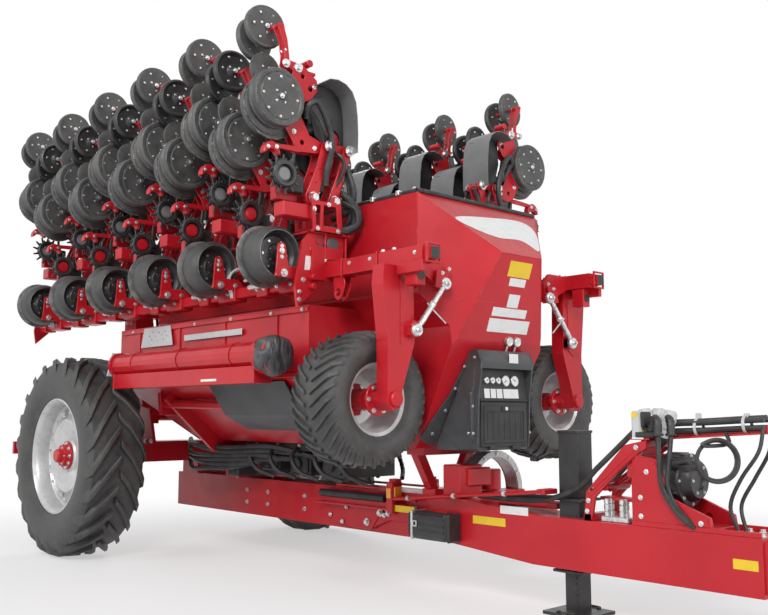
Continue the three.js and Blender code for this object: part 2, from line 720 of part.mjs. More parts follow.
// A short unit is clamped to the outer face of the tube, clear of the fold lugs.
function shortUnit(x) {
  const face = TUBE_U + TUBE / 2 + GAP;
  const top = TUBE_Z + TUBE / 2;
  const foot = LINK_FOOT - SHORT_DROP - 30;
  const armTop = LINK_FOOT + ARM_LIFT - SHORT_DROP + 20;
  return join(opener(x, SHORT_DROP, 180),
    prism("x", x - 120, x + 70, [
      [face, top - 55], [1010, top - 55], [1010, top + 45], [face + 15, top + 45],
      [face + 15, top - 5], [face, top - 5]]),
    prism("x", x - 60, x + 40, [
      [918, foot], [1020, foot], [890, armTop], [790, armTop]]),
    prism("x", x - 20, x + 15, [
      [980, 2365], [1320, 2270], [1340, 2520], [1260, 2520], [1230, 2360], [980, 2390]]));
}

// A long unit, and the short one behind it, joined by their seed duct.
function rowUnits(x) {
  return join(longUnit(x), shortUnit(x - SHORT_BACK),
    round("x", x - SHORT_BACK + 60, x - 110, 950, 2370, 20, 8));
}

const FRONT_BEAM = 100;
const FRONT_BEAM_Z = 2110;
const ARM_X = SUPPORT_X + SUPPORT_W / 2 + 20;
const STAY_X = ARM_X + 155; // the turnbuckle that braces the arm
const STAY_EYE = 22; // half its eye's thickness

function frontBeam() {
  const half = FRONT_BEAM / 2;
  const start = TUBE_FRONT + END_PLATE + GAP;
  const end = 3760;
  return join(
    box(start, end, TUBE_U - 20, TUBE_U + 80, FRONT_BEAM_Z - half, FRONT_BEAM_Z + half),
    box(end - 5, end + 60, TUBE_U - 5, TUBE_U + 65, FRONT_BEAM_Z - 35, FRONT_BEAM_Z + 35),
    box(start, start + 16, TUBE_U - 60, TUBE_U + 200,
      FRONT_BEAM_Z - half - 20, FRONT_BEAM_Z + half + 100),
    prism("x", STAY_X - 50, STAY_X - STAY_EYE - GAP, [
      [TUBE_U - 10, 2150], [TUBE_U - 10, 2070], [520, 1940], [490, 1950], [490, 2080], [560, 2150]]));
}

function supportArm() {
  const top = FRONT_BEAM_Z - FRONT_BEAM / 2 - GAP;
  const plates = prism("x", ARM_X, ARM_X + 100, [
    [TUBE_U - 40, top], [TUBE_U + 190, top], [TUBE_U + 200, top - 120], [TUBE_U + 160, 1600],
    [SUPPORT_U + 60, SUPPORT_Z - 20], [SUPPORT_U + 20, SUPPORT_Z - 70],
    [SUPPORT_U - 40, SUPPORT_Z - 50], [SUPPORT_U - 60, SUPPORT_Z + 60],
    [TUBE_U - 60, 1600], [TUBE_U - 50, top - 120]]);
  return join(plates,
    round("x", SUPPORT_X - 30, ARM_X + 10, SUPPORT_U, SUPPORT_Z, STUB_R, 12),
    box(ARM_X + 95, STAY_X - STAY_EYE - GAP, TUBE_U - 50, TUBE_U + 20, 1640, 1700));
}

function turnbuckle() {
  const from = [STAY_X, 525, 1975];
  const to = [STAY_X, TUBE_U - 25, 1672];
  const eye = ([x, u, z]) => round("x", x - STAY_EYE, x + STAY_EYE, u, z, 34, 10);
  return join(rod(from, to, 20, 10), eye(from), eye(to));
}

// ---- build -------------------------------------------------------------------------------
add("main_beam", mainBeam(), RED);
add("drawbar_eye", drawbarEye(), BLACK);
add("rear_axle", rearAxle(), RED);
add("rear_tower", rearTower(), RED);
add("tank_frame", tankFrame(), RED);
add("front_struts", frontStruts(), BLACK);
add("hopper_top", hopperTop(), RED);
add("hopper_belly", hopperBelly(), RED);
for (const [name, back, front] of LIDS) add(name, lid(back, front), BLACK);
add("console", control(), ANTHRACITE);
add("tool_box_door", toolBoxDoor(), BLACK);
add("metering_unit", meteringUnit(), BLACK);
add("seed_fan", seedFan(), SILVER);
add("pump_bracket", pumpBracket(), RED);
add("pump_drum", pumpDrum(), BLACK);
add("connector_rack", connectorRack(), RED);
add("hose_couplers", couplers(), SILVER);
add("jack_sleeve", jackSleeve(), BLACK);
add("jack_leg", jackLeg(), BLACK);
add("filling_auger", fillingAuger(), RED);
addPair("side_bracket", sideBracket(), RED);
add("control_rod", controlRod(), RED);
add("canister", canister(), BLACK);
add("carrier", carrier(), RED);
addRearWheels();
addPair("toolbar", toolbar(), RED);
addPair("coulter_gang", coulterGang(), RED);
addPair("front_beam", frontBeam(), RED);
addPair("support_arm", supportArm(), RED);
addPair("turnbuckle", turnbuckle(), SILVER);
addSupportWheels();
for (let i = 0; i < ROWS - 1; i++) {
  addPair(`row_unit_${i + 1}`, rowUnits(ROW_FRONT - i * ROW_SPACING), RED);
}
addPair(`row_unit_${ROWS}`, longUnit(ROW_FRONT - (ROWS - 1) * ROW_SPACING), RED);

const bounds = new THREE.Box3().setFromObject(drill);
drill.position.x = -(bounds.min.x + bounds.max.x) / 2;

export default drill;
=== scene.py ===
import math
import random

import bmesh
import bpy
from mathutils import Matrix, Vector


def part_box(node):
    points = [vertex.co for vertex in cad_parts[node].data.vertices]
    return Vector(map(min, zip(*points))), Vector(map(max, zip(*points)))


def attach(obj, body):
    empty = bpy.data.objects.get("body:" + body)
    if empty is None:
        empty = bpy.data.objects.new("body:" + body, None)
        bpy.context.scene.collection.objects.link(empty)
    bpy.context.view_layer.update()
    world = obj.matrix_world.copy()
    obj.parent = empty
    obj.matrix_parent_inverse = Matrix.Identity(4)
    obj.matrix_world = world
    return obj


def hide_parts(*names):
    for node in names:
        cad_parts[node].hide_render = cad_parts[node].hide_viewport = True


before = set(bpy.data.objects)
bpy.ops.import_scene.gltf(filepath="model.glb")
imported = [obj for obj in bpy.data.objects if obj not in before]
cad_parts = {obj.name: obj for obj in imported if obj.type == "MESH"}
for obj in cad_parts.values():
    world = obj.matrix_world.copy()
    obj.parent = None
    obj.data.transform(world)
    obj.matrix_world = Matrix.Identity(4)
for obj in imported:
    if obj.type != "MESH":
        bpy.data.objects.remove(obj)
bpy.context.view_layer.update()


def middle(node):
    low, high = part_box(node)
    return (low + high) / 2


AXLE_X = middle("left_rear_rim").x
SIDES = (("left", 1), ("right", -1))

# ---- driving dimensions ------------------------------------------------------------------
ROWS = 6
ROW_SPACING = 0.75
ROW_FRONT = 2.8
TUBE = 0.15
TUBE_U = 0.8
TUBE_Z = 2.27
TUBE_TOP = TUBE_Z + TUBE / 2
TUBE_FRONT = ROW_FRONT + 0.05
WING_REAR = -1.419
BAR = 0.08
BAR_U = 1.0
BAR_Z = 2.02
HEAD_Z = 2.58  # lower pins of the parallel links
LINK_RISE = 0.37
GAUGE_U = 1.27
GAUGE_Z = 3.195
GAUGE_R = 0.192
CLOSING_U = 1.258
CLOSING_Z = 3.73
CLOSING_R = 0.147
COULTER_U = 1.18
COULTER_Z = 2.2
COULTER_R = 0.188
TRACK = 1.26
TYRE_R = 0.823
TYRE_W = 0.48
RIM_R = 0.45
SUPPORT_X = 3.23
SUPPORT_U = 0.9
SUPPORT_Z = 1.26
SUPPORT_R = 0.42
SUPPORT_W = 0.4
SUPPORT_RIM_R = 0.205
BEAM_HALF = 0.145
TANK_TOP = 2.58
TANK_HALF = 0.62
JACK_X = 4.17
JACK_HALF = 0.07
SKIN = 0.0008  # how far a label or a washer stands off what it lies on
DECK = 0.5653  # top of the beam, with the skin of what stands on it
AHEAD, BACK, LEFT, UP, DOWN = (1, 0, 0), (-1, 0, 0), (0, 1, 0), (0, 0, 1), (0, 0, -1)

# ---- camera ------------------------------------------------------------------------------
eye = bpy.data.objects.new("camera", bpy.data.cameras.new("camera"))
bpy.context.scene.collection.objects.link(eye)
eye.location = (AXLE_X + 7.486, -4.575, 1.182)
eye.rotation_euler = (math.radians(96.575), 0, math.radians(47.68))
eye.data.sensor_width = 36
eye.data.lens = 42.6
eye.data.clip_end = 100
bpy.context.scene.camera = eye


# ---- finishes ----------------------------------------------------------------------------
class Finish:
    """A material's node tree, with the few nodes that each of this drill's finishes uses."""

    def __init__(self, name):
        self.material = bpy.data.materials.new(name)
        self.material.use_nodes = True
        self.nodes = self.material.node_tree.nodes
        self.links = self.material.node_tree.links
        self.shader = self.nodes["Principled BSDF"]
        self.place = self.nodes.new("ShaderNodeTexCoord").outputs["Object"]

    def join(self, out, into):
        self.links.new(out, into)

    def clouds(self, scale, detail=4.0, rough=0.6, stretch=None):
        """Soft random patches."""
        node = self.nodes.new("ShaderNodeTexNoise")
        node.inputs["Scale"].default_value = scale
        node.inputs["Detail"].default_value = detail
        node.inputs["Roughness"].default_value = rough
        self.join(self.stretched(stretch), node.inputs["Vector"])
        return node.outputs["Fac"]

    def cells(self, scale, stretch=None, feature="F1"):
        node = self.nodes.new("ShaderNodeTexVoronoi")
        node.feature = feature
        node.inputs["Scale"].default_value = scale
        self.join(self.stretched(stretch), node.inputs["Vector"])
        return node.outputs["Distance"]

    def stretched(self, stretch):
        if stretch is None:
            return self.place
        node = self.nodes.new("ShaderNodeMapping")
        node.inputs["Scale"].default_value = stretch
        self.join(self.place, node.inputs["Vector"])
        return node.outputs["Vector"]

    def between(self, value, low, high, to_low=0.0, to_high=1.0):
        """value from low..high carried to to_low..to_high, and held at the ends."""
        node = self.nodes.new("ShaderNodeMapRange")
        node.inputs["From Min"].default_value = low
        node.inputs["From Max"].default_value = high
        node.inputs["To Min"].default_value = to_low
        node.inputs["To Max"].default_value = to_high
        self.join(value, node.inputs["Value"])
        return node.outputs["Result"]

    def sums(self, kind, a, b):
        node = self.nodes.new("ShaderNodeMath")
        node.operation = kind
        node.use_clamp = True
        for value, socket in ((a, node.inputs[0]), (b, node.inputs[1])):
            if isinstance(value, (int, float)):
                socket.default_value = value
            else:
                self.join(value, socket)
        return node.outputs["Value"]

    def mixed(self, share, first, second):
        """Two colours, or a colour and a colour's socket, mixed by share."""
        node = self.nodes.new("ShaderNodeMix")
        node.data_type = "RGBA"
        self.join(share, node.inputs["Factor"])
        for value, socket in ((first, node.inputs[6]), (second, node.inputs[7])):
            if isinstance(value, tuple):
                socket.default_value = (*value, 1)
            else:
                self.join(value, socket)
        return node.outputs[2]

    def upward(self):
        """1 on what faces up, 0 on what faces down."""
        normal = self.nodes.new("ShaderNodeNewGeometry").outputs["Normal"]
        parts = self.nodes.new("ShaderNodeSeparateXYZ")
        self.join(normal, parts.inputs["Vector"])
        return self.between(parts.outputs["Z"], -0.2, 1.0)

    def edges(self, radius):
        """1 along outer and inner edges, broken up by fine noise."""
        node = self.nodes.new("ShaderNodeBevel")
        node.samples = 3
        node.inputs["Radius"].default_value = radius
        dot = self.nodes.new("ShaderNodeVectorMath")
        dot.operation = "DOT_PRODUCT"
        self.join(node.outputs["Normal"], dot.inputs[0])
        self.join(self.nodes.new("ShaderNodeNewGeometry").outputs["Normal"], dot.inputs[1])
        edge = self.between(dot.outputs["Value"], 0.995, 0.9)
        return self.sums("MULTIPLY", edge, self.between(self.clouds(28, 6), 0.46, 0.6))

    def bump(self, height, strength, distance):
        node = self.nodes.new("ShaderNodeBump")
        node.inputs["Strength"].default_value = strength
        node.inputs["Distance"].default_value = distance
        self.join(height, node.inputs["Height"])
        if self.shader.inputs["Normal"].links:
            self.join(self.shader.inputs["Normal"].links[0].from_socket, node.inputs["Normal"])
        self.join(node.outputs["Normal"], self.shader.inputs["Normal"])

    def set(self, colour=None, roughness=None, metal=0.0, coat=0.0, specular=0.5):
        values = self.shader.inputs
        if isinstance(colour, tuple):
            values["Base Color"].default_value = (*colour, 1)
        elif colour is not None:
            self.join(colour, values["Base Color"])
        if isinstance(roughness, (int, float)):
            values["Roughness"].default_value = roughness
        elif roughness is not None:
            self.join(roughness, values["Roughness"])
        values["Metallic"].default_value = metal
        values["Coat Weight"].default_value = coat
        values["Coat Roughness"].default_value = 0.18
        values["Specular IOR Level"].default_value = specular
        return self.material


DUST = (0.3, 0.25, 0.19)


def red_enamel():
    f = Finish("red_enamel")
    tone = f.between(f.clouds(1.3, 3), 0.35, 0.65)
    paint = f.mixed(tone, (0.44, 0.006, 0.014), (0.53, 0.01, 0.02))
    dust = f.sums("MULTIPLY", f.upward(), f.between(f.clouds(5, 8, 0.7), 0.4, 0.75, 0.0, 0.16))
    paint = f.mixed(dust, paint, DUST)
    # lighter salmon red along the edges, broken up by noise: painted highlight
    paint = f.mixed(f.sums("MULTIPLY", f.edges(0.004), 0.5), paint, (0.75, 0.16, 0.14))
    f.bump(f.clouds(60, 2), 0.06, 0.002)
    rough = f.between(f.clouds(7, 6), 0.3, 0.7, 0.28, 0.44)
    return f.set(paint, rough, coat=0.12, specular=0.38)


def dark_powder_coat(name, colour, rough, grain):
    f = Finish(name)
    lighter = tuple(min(1, 1.5 * c + 0.01) for c in colour)
    tone = f.mixed(f.between(f.clouds(3, 5), 0.35, 0.7), colour, lighter)
    dust = f.sums("MULTIPLY", f.upward(), f.between(f.clouds(9, 8, 0.7), 0.42, 0.75, 0.0, 0.3))
    tone = f.mixed(dust, tone, DUST)
    # lighter grey along the edges, broken up by noise: painted highlight
    tone = f.mixed(f.sums("MULTIPLY", f.edges(0.003), 0.7), tone, (0.24, 0.24, 0.25))
    f.bump(f.clouds(grain, 2), 0.18, 0.001)
    return f.set(tone, f.between(f.clouds(12, 5), 0.3, 0.7, rough - 0.07, rough + 0.1))


def moulded_black():
    f = Finish("moulded_black_plastic")
    tone = f.mixed(f.between(f.clouds(4, 6), 0.4, 0.7), (0.016, 0.016, 0.017), (0.04, 0.04, 0.042))
    f.bump(f.cells(220), 0.25, 0.001)
    return f.set(tone, f.between(f.clouds(9, 4), 0.3, 0.7, 0.45, 0.62))


def tyre_rubber():
    f = Finish("tyre_rubber")
    wear = f.between(f.clouds(6, 8, 0.7), 0.35, 0.75)
    tone = f.mixed(wear, (0.03, 0.03, 0.031), (0.085, 0.082, 0.078))
    dust = f.between(f.clouds(16, 9, 0.75), 0.52, 0.78, 0.0, 0.35)
    tone = f.mixed(dust, tone, (0.17, 0.155, 0.135))
    f.bump(f.clouds(120, 6, 0.7), 0.3, 0.002)
    f.bump(f.clouds(9, 5), 0.25, 0.006)
    return f.set(tone, f.between(wear, 0, 1, 0.45, 0.7), specular=0.5)


def wheel_silver():
    f = Finish("wheel_silver")
    tone = f.mixed(f.between(f.clouds(5, 6), 0.35, 0.7), (0.5, 0.505, 0.51), (0.62, 0.62, 0.62))
    grime = f.between(f.clouds(14, 9, 0.7), 0.5, 0.75, 0.0, 0.5)
    tone = f.mixed(grime, tone, (0.27, 0.25, 0.22))
    tone = f.mixed(f.sums("MULTIPLY", f.edges(0.004), 0.6), tone, (0.3, 0.28, 0.26))
    f.bump(f.clouds(90, 3), 0.12, 0.001)
    return f.set(tone, f.between(grime, 0, 0.5, 0.33, 0.6), metal=0.35)


def bright_zinc():
    f = Finish("bright_zinc")
    spangle = f.between(f.cells(42), 0.1, 0.7)
    tone = f.mixed(spangle, (0.52, 0.53, 0.54), (0.72, 0.73, 0.73))
    stain = f.between(f.clouds(20, 8, 0.7), 0.5, 0.8, 0.0, 0.5)
    tone = f.mixed(stain, tone, (0.34, 0.33, 0.3))
    f.bump(f.clouds(150, 3), 0.15, 0.0006)
    return f.set(tone, f.between(spangle, 0, 1, 0.25, 0.42), metal=0.85)


def disc_steel():
    """Coated discs, dusty from the soil, with painted highlights in pale grey rings along their edges."""
    f = Finish("dark_disc_steel")
    tone = f.mixed(f.between(f.clouds(5, 5), 0.35, 0.7), (0.045, 0.044, 0.044), (0.095, 0.093, 0.09))
    dust = f.between(f.clouds(26, 9, 0.75), 0.5, 0.8, 0.0, 0.4)
    tone = f.mixed(dust, tone, (0.19, 0.18, 0.165))
    # pale grey along the edges and lips of the discs: painted highlight
    tone = f.mixed(f.sums("MULTIPLY", f.edges(0.004), 0.9), tone, (0.42, 0.42, 0.42))
    f.bump(f.clouds(70, 5), 0.15, 0.001)
    return f.set(tone, f.between(f.clouds(10, 6), 0.3, 0.7, 0.38, 0.58))


def lip_highlight_and_disc_steel():
    """Steel polished by the soil on the cutting discs; on the ring round each dish's lip it is a painted
    highlight.
    """
    f = Finish("worn_disc_edge")
    tone = f.mixed(f.between(f.clouds(14, 5), 0.35, 0.7), (0.16, 0.16, 0.16), (0.42, 0.42, 0.41))
    f.bump(f.clouds(90, 4), 0.1, 0.001)
    return f.set(tone, f.between(f.clouds(10, 6), 0.3, 0.7, 0.3, 0.5), metal=0.6)


def hose_rubber():
    f = Finish("hose_rubber")
    tone = f.mixed(f.between(f.clouds(12, 6), 0.35, 0.7), (0.013, 0.013, 0.014), (0.045, 0.044, 0.043))
    f.bump(f.clouds(140, 3), 0.2, 0.001)
    return f.set(tone, f.between(f.clouds(8, 4), 0.3, 0.7, 0.4, 0.6))


def meter_cover():
    f = Finish("meter_cover_grey")
    tone = f.mixed(f.between(f.clouds(3, 5), 0.35, 0.7), (0.155, 0.157, 0.16), (0.22, 0.222, 0.225))
    tone = f.mixed(f.between(f.clouds(30, 8, 0.7), 0.55, 0.8, 0.0, 0.4), tone, (0.32, 0.3, 0.27))
    f.bump(f.clouds(160, 2), 0.12, 0.0008)
    return f.set(tone, 0.42)


def film(name, colour, worn):
    """A stuck-on label, slightly dirty and never quite flat."""
    f = Finish(name)
    tone = f.mixed(f.between(f.clouds(18, 7, 0.7), 0.5, 0.8, 0.0, 0.55), colour, worn)
    f.bump(f.clouds(14, 3), 0.1, 0.002)
    return f.set(tone, f.between(f.clouds(10, 4), 0.3, 0.7, 0.3, 0.5))


def prisms(name, colour, deep):
    """A reflector: clear plastic over a grid of small prisms."""
    f = Finish(name)
    grid = f.between(f.cells(230), 0.0, 0.6)
    f.bump(grid, 0.5, 0.001)
    return f.set(f.mixed(grid, deep, colour), 0.18, coat=0.6)


def ribbed_matting():
    """The crinkled cover tied over the filling auger."""
    f = Finish("crinkled_cover")
    folds = f.clouds(9, 3, 0.5, (1, 3.5, 1))
    # the colour follows the folds, darker in their hollows and lighter on their ridges: painted shade and
    # painted highlight
    tone = f.mixed(f.between(folds, 0.35, 0.7), (0.02, 0.021, 0.023), (0.1, 0.105, 0.11))
    f.bump(folds, 0.9, 0.02)
    return f.set(tone, 0.38)


RED = red_enamel()
ANTHRACITE = dark_powder_coat("anthracite_powder_coat", (0.044, 0.046, 0.049), 0.48, 170)
BLACK = dark_powder_coat("black_paint", (0.012, 0.012, 0.013), 0.38, 110)
PLASTIC = moulded_black()
RUBBER = tyre_rubber()
SILVER = wheel_silver()
ZINC = bright_zinc()
DISC = disc_steel()
LIP_HIGHLIGHT_AND_DISC = lip_highlight_and_disc_steel()
HOSE = hose_rubber()
METER = meter_cover()
WHITE = film("white_film", (0.78, 0.78, 0.77), (0.55, 0.54, 0.52))
PANEL = film("light_grey_panel", (0.56, 0.565, 0.57), (0.38, 0.37, 0.36))
YELLOW = film("yellow_film", (0.82, 0.56, 0.02), (0.55, 0.38, 0.05))
AMBER = prisms("amber_prisms", (0.95, 0.36, 0.02), (0.62, 0.15, 0.01))
LAMP = prisms("red_lamp_prisms", (0.65, 0.02, 0.02), (0.3, 0.01, 0.01))
CRINKLED = ribbed_matting()


# ---- shapes ------------------------------------------------------------------------------
# Each returns a bmesh of closed solids, which a piece's add() takes and uses up.
def softened(shape, edge, least=24):
    """The sharp edges of a shape, rounded by edge metres."""
    if edge:
        sharp = [e for e in shape.edges if e.is_manifold and e.calc_face_angle() > math.radians(least)]
        bmesh.ops.bevel(shape, geom=sharp, offset=edge, segments=1, affect="EDGES", clamp_overlap=True)
    return shape


def block(x0, x1, y0, y1, z0, z1, edge=0.004):
    shape = bmesh.new()
    size = Matrix.Diagonal((abs(x1 - x0), abs(y1 - y0), abs(z1 - z0), 1))
    centre = Matrix.Translation(((x0 + x1) / 2, (y0 + y1) / 2, (z0 + z1) / 2))
    bmesh.ops.create_cube(shape, size=1, matrix=centre @ size)
    return softened(shape, edge)


def facing_out(shape):
    bmesh.ops.recalc_face_normals(shape, faces=shape.faces[:])
    return shape


def on_axis(axis, along, a, b):
    """(a, b) seen along an axis: x shows (y, z), y shows (x, z) and z shows (x, y)."""
    return {"x": (along, a, b), "y": (a, along, b), "z": (a, b, along)}[axis]


def circle(a, b, radius, count=14):
    turns = (2 * math.pi * i / count for i in range(count))
    return [(a + radius * math.cos(t), b + radius * math.sin(t)) for t in turns]


def plate(axis, low, high, outline, holes=(), edge=0.003):
    """An outline, less its holes, as thick as low to high along the axis."""
    shape = bmesh.new()
    edges = []
    for loop in (outline, *holes):
        verts = [shape.verts.new(on_axis(axis, low, a, b)) for a, b in loop]
        edges += [shape.edges.new((verts[i - 1], verts[i])) for i in range(len(verts))]
    if holes:
        bmesh.ops.triangle_fill(shape, use_beauty=True, use_dissolve=False, edges=edges)
    else:
        shape.faces.new(shape.verts[:])
    grown = bmesh.ops.extrude_face_region(shape, geom=shape.faces[:])
    moved = [v for v in grown["geom"] if isinstance(v, bmesh.types.BMVert)]
    bmesh.ops.translate(shape, verts=moved, vec=on_axis(axis, high - low, 0, 0))
    return softened(facing_out(shape), edge)


def turned_to(way):
    """The turn that carries +Z to way."""
    return Vector(way).to_track_quat("Z", "Y").to_matrix().to_4x4()


def bar(start, end, radius, sides=12, edge=0.0, end_radius=None):
    """A round bar between two points, or a cone with end_radius."""
    start, end = Vector(start), Vector(end)
    shape = bmesh.new()
    place = Matrix.Translation((start + end) / 2) @ turned_to(end - start)
    far = radius if end_radius is None else end_radius
    bmesh.ops.create_cone(shape, cap_ends=True, segments=sides, radius1=radius, radius2=far,
        depth=(end - start).length, matrix=place)
    return softened(shape, edge, 60)


def turned(profile, centre, way, sides=32, closed=False):
    """A turned piece: the profile is (radius, distance along way)."""
    shape = bmesh.new()
    place = Matrix.Translation(centre) @ turned_to(way)
    rings = []
    for radius, along in profile:
        if radius < 1e-6:
            rings.append([shape.verts.new((0, 0, along))])
            continue
        spots = circle(0, 0, radius, sides)
        rings.append([shape.verts.new((a, b, along)) for a, b in spots])
    pairs = list(zip(rings, rings[1:]))
    if closed:
        pairs.append((rings[-1], rings[0]))
    for first, second in pairs:
        for i in range(sides):
            j = (i + 1) % sides
            corners = [first[i % len(first)], first[j % len(first)], second[j % len(second)],
                second[i % len(second)]]
            distinct = list(dict.fromkeys(corners))
            if len(distinct) > 2:
                shape.faces.new(distinct)
    bmesh.ops.transform(facing_out(shape), matrix=place, verts=shape.verts[:])
    return shape


def skinned(shape, rings):
    """Closes the walls between rings of corners, and both ends."""
    for first, second in zip(rings, rings[1:]):
        for i in range(len(first)):
            shape.faces.new((first[i - 1], first[i], second[i], second[i - 1]))
    shape.faces.new(rings[0])
    shape.faces.new(rings[-1])
    return facing_out(shape)


def stretch_of_path(a, b, c, d, steps):
    """Points on a smooth line from b towards c, with a before them and d after."""
    shares = (k / steps for k in range(steps))
    return [0.5 * (2 * b + (c - a) * t + (2 * a - 5 * b + 4 * c - d) * t * t
        + (3 * b - a - 3 * c + d) * t ** 3) for t in shares]


def smooth_path(points, steps):
    """Points on a smooth line through the given points."""
    points = [Vector(p) for p in points]
    padded = [2 * points[0] - points[1], *points, 2 * points[-1] - points[-2]]
    path = []
    for i in range(len(padded) - 3):
        path += stretch_of_path(*padded[i:i + 4], steps)
    return [*path, points[-1]]


def tube(points, radius, sides=8, steps=5, ribs=0.0):
    """A round tube along a smooth line; ribs makes it a corrugated hose."""
    path = smooth_path(points, steps)
    shape = bmesh.new()
    rings = []
    side = None
    for i, spot in enumerate(path):
        ahead = (path[min(i + 1, len(path) - 1)] - path[max(i - 1, 0)]).normalized()
        if side is None:
            side = ahead.orthogonal().normalized()
        side = (side - ahead * side.dot(ahead)).normalized()
        other = ahead.cross(side)
        wide = radius - (ribs if i % 2 else 0)
        rings.append([shape.verts.new(spot + wide * (side * a + other * b)) for a,
            b in circle(0, 0, 1, sides)])
    return skinned(shape, rings)


def hoop(centre, way, radius, thick, sides=28, round_sides=8):
    """A ring of round section."""
    profile = [(radius + a, b) for a, b in circle(0, 0, thick, round_sides)]
    return turned(profile, centre, way, sides, closed=True)


def sheet_along(outline, x0, x1, thick):
    """A bent sheet seen along X: it follows the outline and is thick on its right."""
    outline = [Vector((a, b)) for a, b in outline]
    inner = []
    for i, p in enumerate(outline):
        ahead = outline[min(i + 1, len(outline) - 1)] - outline[max(i - 1, 0)]
        across = Vector((ahead.y, -ahead.x)).normalized()
        inner.append(p + across * thick)
    ring = [(p.x, p.y) for p in outline + inner[::-1]]
    return plate("x", x0, x1, ring, edge=0)


def tilted(shape, centre, degrees, axis):
    """Turned about an axis through centre."""
    turn = Matrix.Rotation(math.radians(degrees), 4, axis)
    place = Matrix.Translation(centre) @ turn @ Matrix.Translation(-Vector(centre))
    bmesh.ops.transform(shape, matrix=place, verts=shape.verts[:])
    return shape


# ---- pieces ------------------------------------------------------------------------------
class Drawn:
    """Shapes gathered into one mesh; mirror puts what is drawn on the left on the right."""

    def __init__(self, *shapes):
        self.whole = bmesh.new()
        self.add(*shapes)

    def add(self, *shapes):
        for shape in shapes:
            held = bpy.data.meshes.new("held")
            shape.to_mesh(held)
            shape.free()
            self.whole.from_mesh(held)
            bpy.data.meshes.remove(held)
        return self

    def mesh(self, side=1, smooth=35):
        if side < 0:
            flip = Matrix.Diagonal((1, -1, 1, 1))
            bmesh.ops.transform(self.whole, matrix=flip, verts=self.whole.verts[:])
            bmesh.ops.reverse_faces(self.whole, faces=self.whole.faces[:])
        made = bpy.data.meshes.new("drawn")
        self.whole.to_mesh(made)
        self.whole.free()
        smoothed(made, smooth)
        return made


def smoothed(mesh, degrees):
    mesh.shade_smooth()
    mesh.set_sharp_from_angle(angle=math.radians(degrees))


def finished(name, mesh, material, nodes=(), body="chassis"):
    """A piece in the frame that rides on a body and stands for the CAD nodes named."""
    mesh.transform(Matrix.Translation((AXLE_X, 0, 0)))
    mesh.name = name
    mesh.materials.clear()
    mesh.materials.append(material)
    piece = bpy.data.objects.new(name, mesh)
    bpy.context.scene.collection.objects.link(piece)
    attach(piece, body)
    if nodes:
        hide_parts(*nodes)
    return piece


# ---- what repeats ------------------------------------------------------------------------
def new_tree(name, inputs):
    """An empty Geometry Nodes tree with named inputs and one geometry out."""
    tree = bpy.data.node_groups.new(name, "GeometryNodeTree")
    tree.interface.new_socket("Geometry", in_out="INPUT", socket_type="NodeSocketGeometry")
    for label, kind in inputs:
        tree.interface.new_socket(label, in_out="INPUT", socket_type=f"NodeSocket{kind}")
    tree.interface.new_socket("Geometry", in_out="OUTPUT", socket_type="NodeSocketGeometry")
    source = tree.nodes.new("NodeGroupInput")
    result = tree.nodes.new("NodeGroupOutput")
    return tree, source, result


def join(tree, giver, out, taker, into):
    tree.links.new(giver.outputs[out], taker.inputs[into])


def end_tree(tree, source, result, copies):
    """Every tree ends by making its copies real and giving them their finish."""
    real = tree.nodes.new("GeometryNodeRealizeInstances")
    dressed = tree.nodes.new("GeometryNodeSetMaterial")
    join(tree, copies, "Instances", real, "Geometry")
    join(tree, real, "Geometry", dressed, "Geometry")
    join(tree, source, "Finish", dressed, "Material")
    join(tree, dressed, "Geometry", result, "Geometry")
    return tree


def rows_tree():
    """The geometry, copied Count times with Step between copies."""
    tree, source, result = new_tree("copies_in_a_row",
        [("Count", "Int"), ("Step", "Vector"), ("Finish", "Material")])
    line = tree.nodes.new("GeometryNodeMeshLine")
    copies = tree.nodes.new("GeometryNodeInstanceOnPoints")
    join(tree, source, "Count", line, "Count")
    join(tree, source, "Step", line, "Offset")
    join(tree, line, "Mesh", copies, "Points")
    join(tree, source, "Geometry", copies, "Instance")
    return end_tree(tree, source, result, copies)


def ring_tree():
    """The geometry, copied Count times round Axis through the origin."""
    tree, source, result = new_tree("copies_in_a_ring",
        [("Count", "Int"), ("Axis", "Vector"), ("Finish", "Material")])
    line = tree.nodes.new("GeometryNodeMeshLine")
    line.inputs["Offset"].default_value = (0, 0, 0)
    index = tree.nodes.new("GeometryNodeInputIndex")
    share = tree.nodes.new("ShaderNodeMath")
    share.operation = "DIVIDE"
    angle = tree.nodes.new("ShaderNodeMath")
    angle.operation = "MULTIPLY"
    angle.inputs[1].default_value = 2 * math.pi
    turn = tree.nodes.new("FunctionNodeAxisAngleToRotation")
    copies = tree.nodes.new("GeometryNodeInstanceOnPoints")
    join(tree, source, "Count", line, "Count")
    join(tree, index, "Index", share, 0)
    join(tree, source, "Count", share, 1)
    join(tree, share, 0, angle, 0)
    join(tree, angle, 0, turn, "Angle")
    join(tree, source, "Axis", turn, "Axis")
    join(tree, line, "Mesh", copies, "Points")
    join(tree, source, "Geometry", copies, "Instance")
    join(tree, turn, "Rotation", copies, "Rotation")
    return end_tree(tree, source, result, copies)


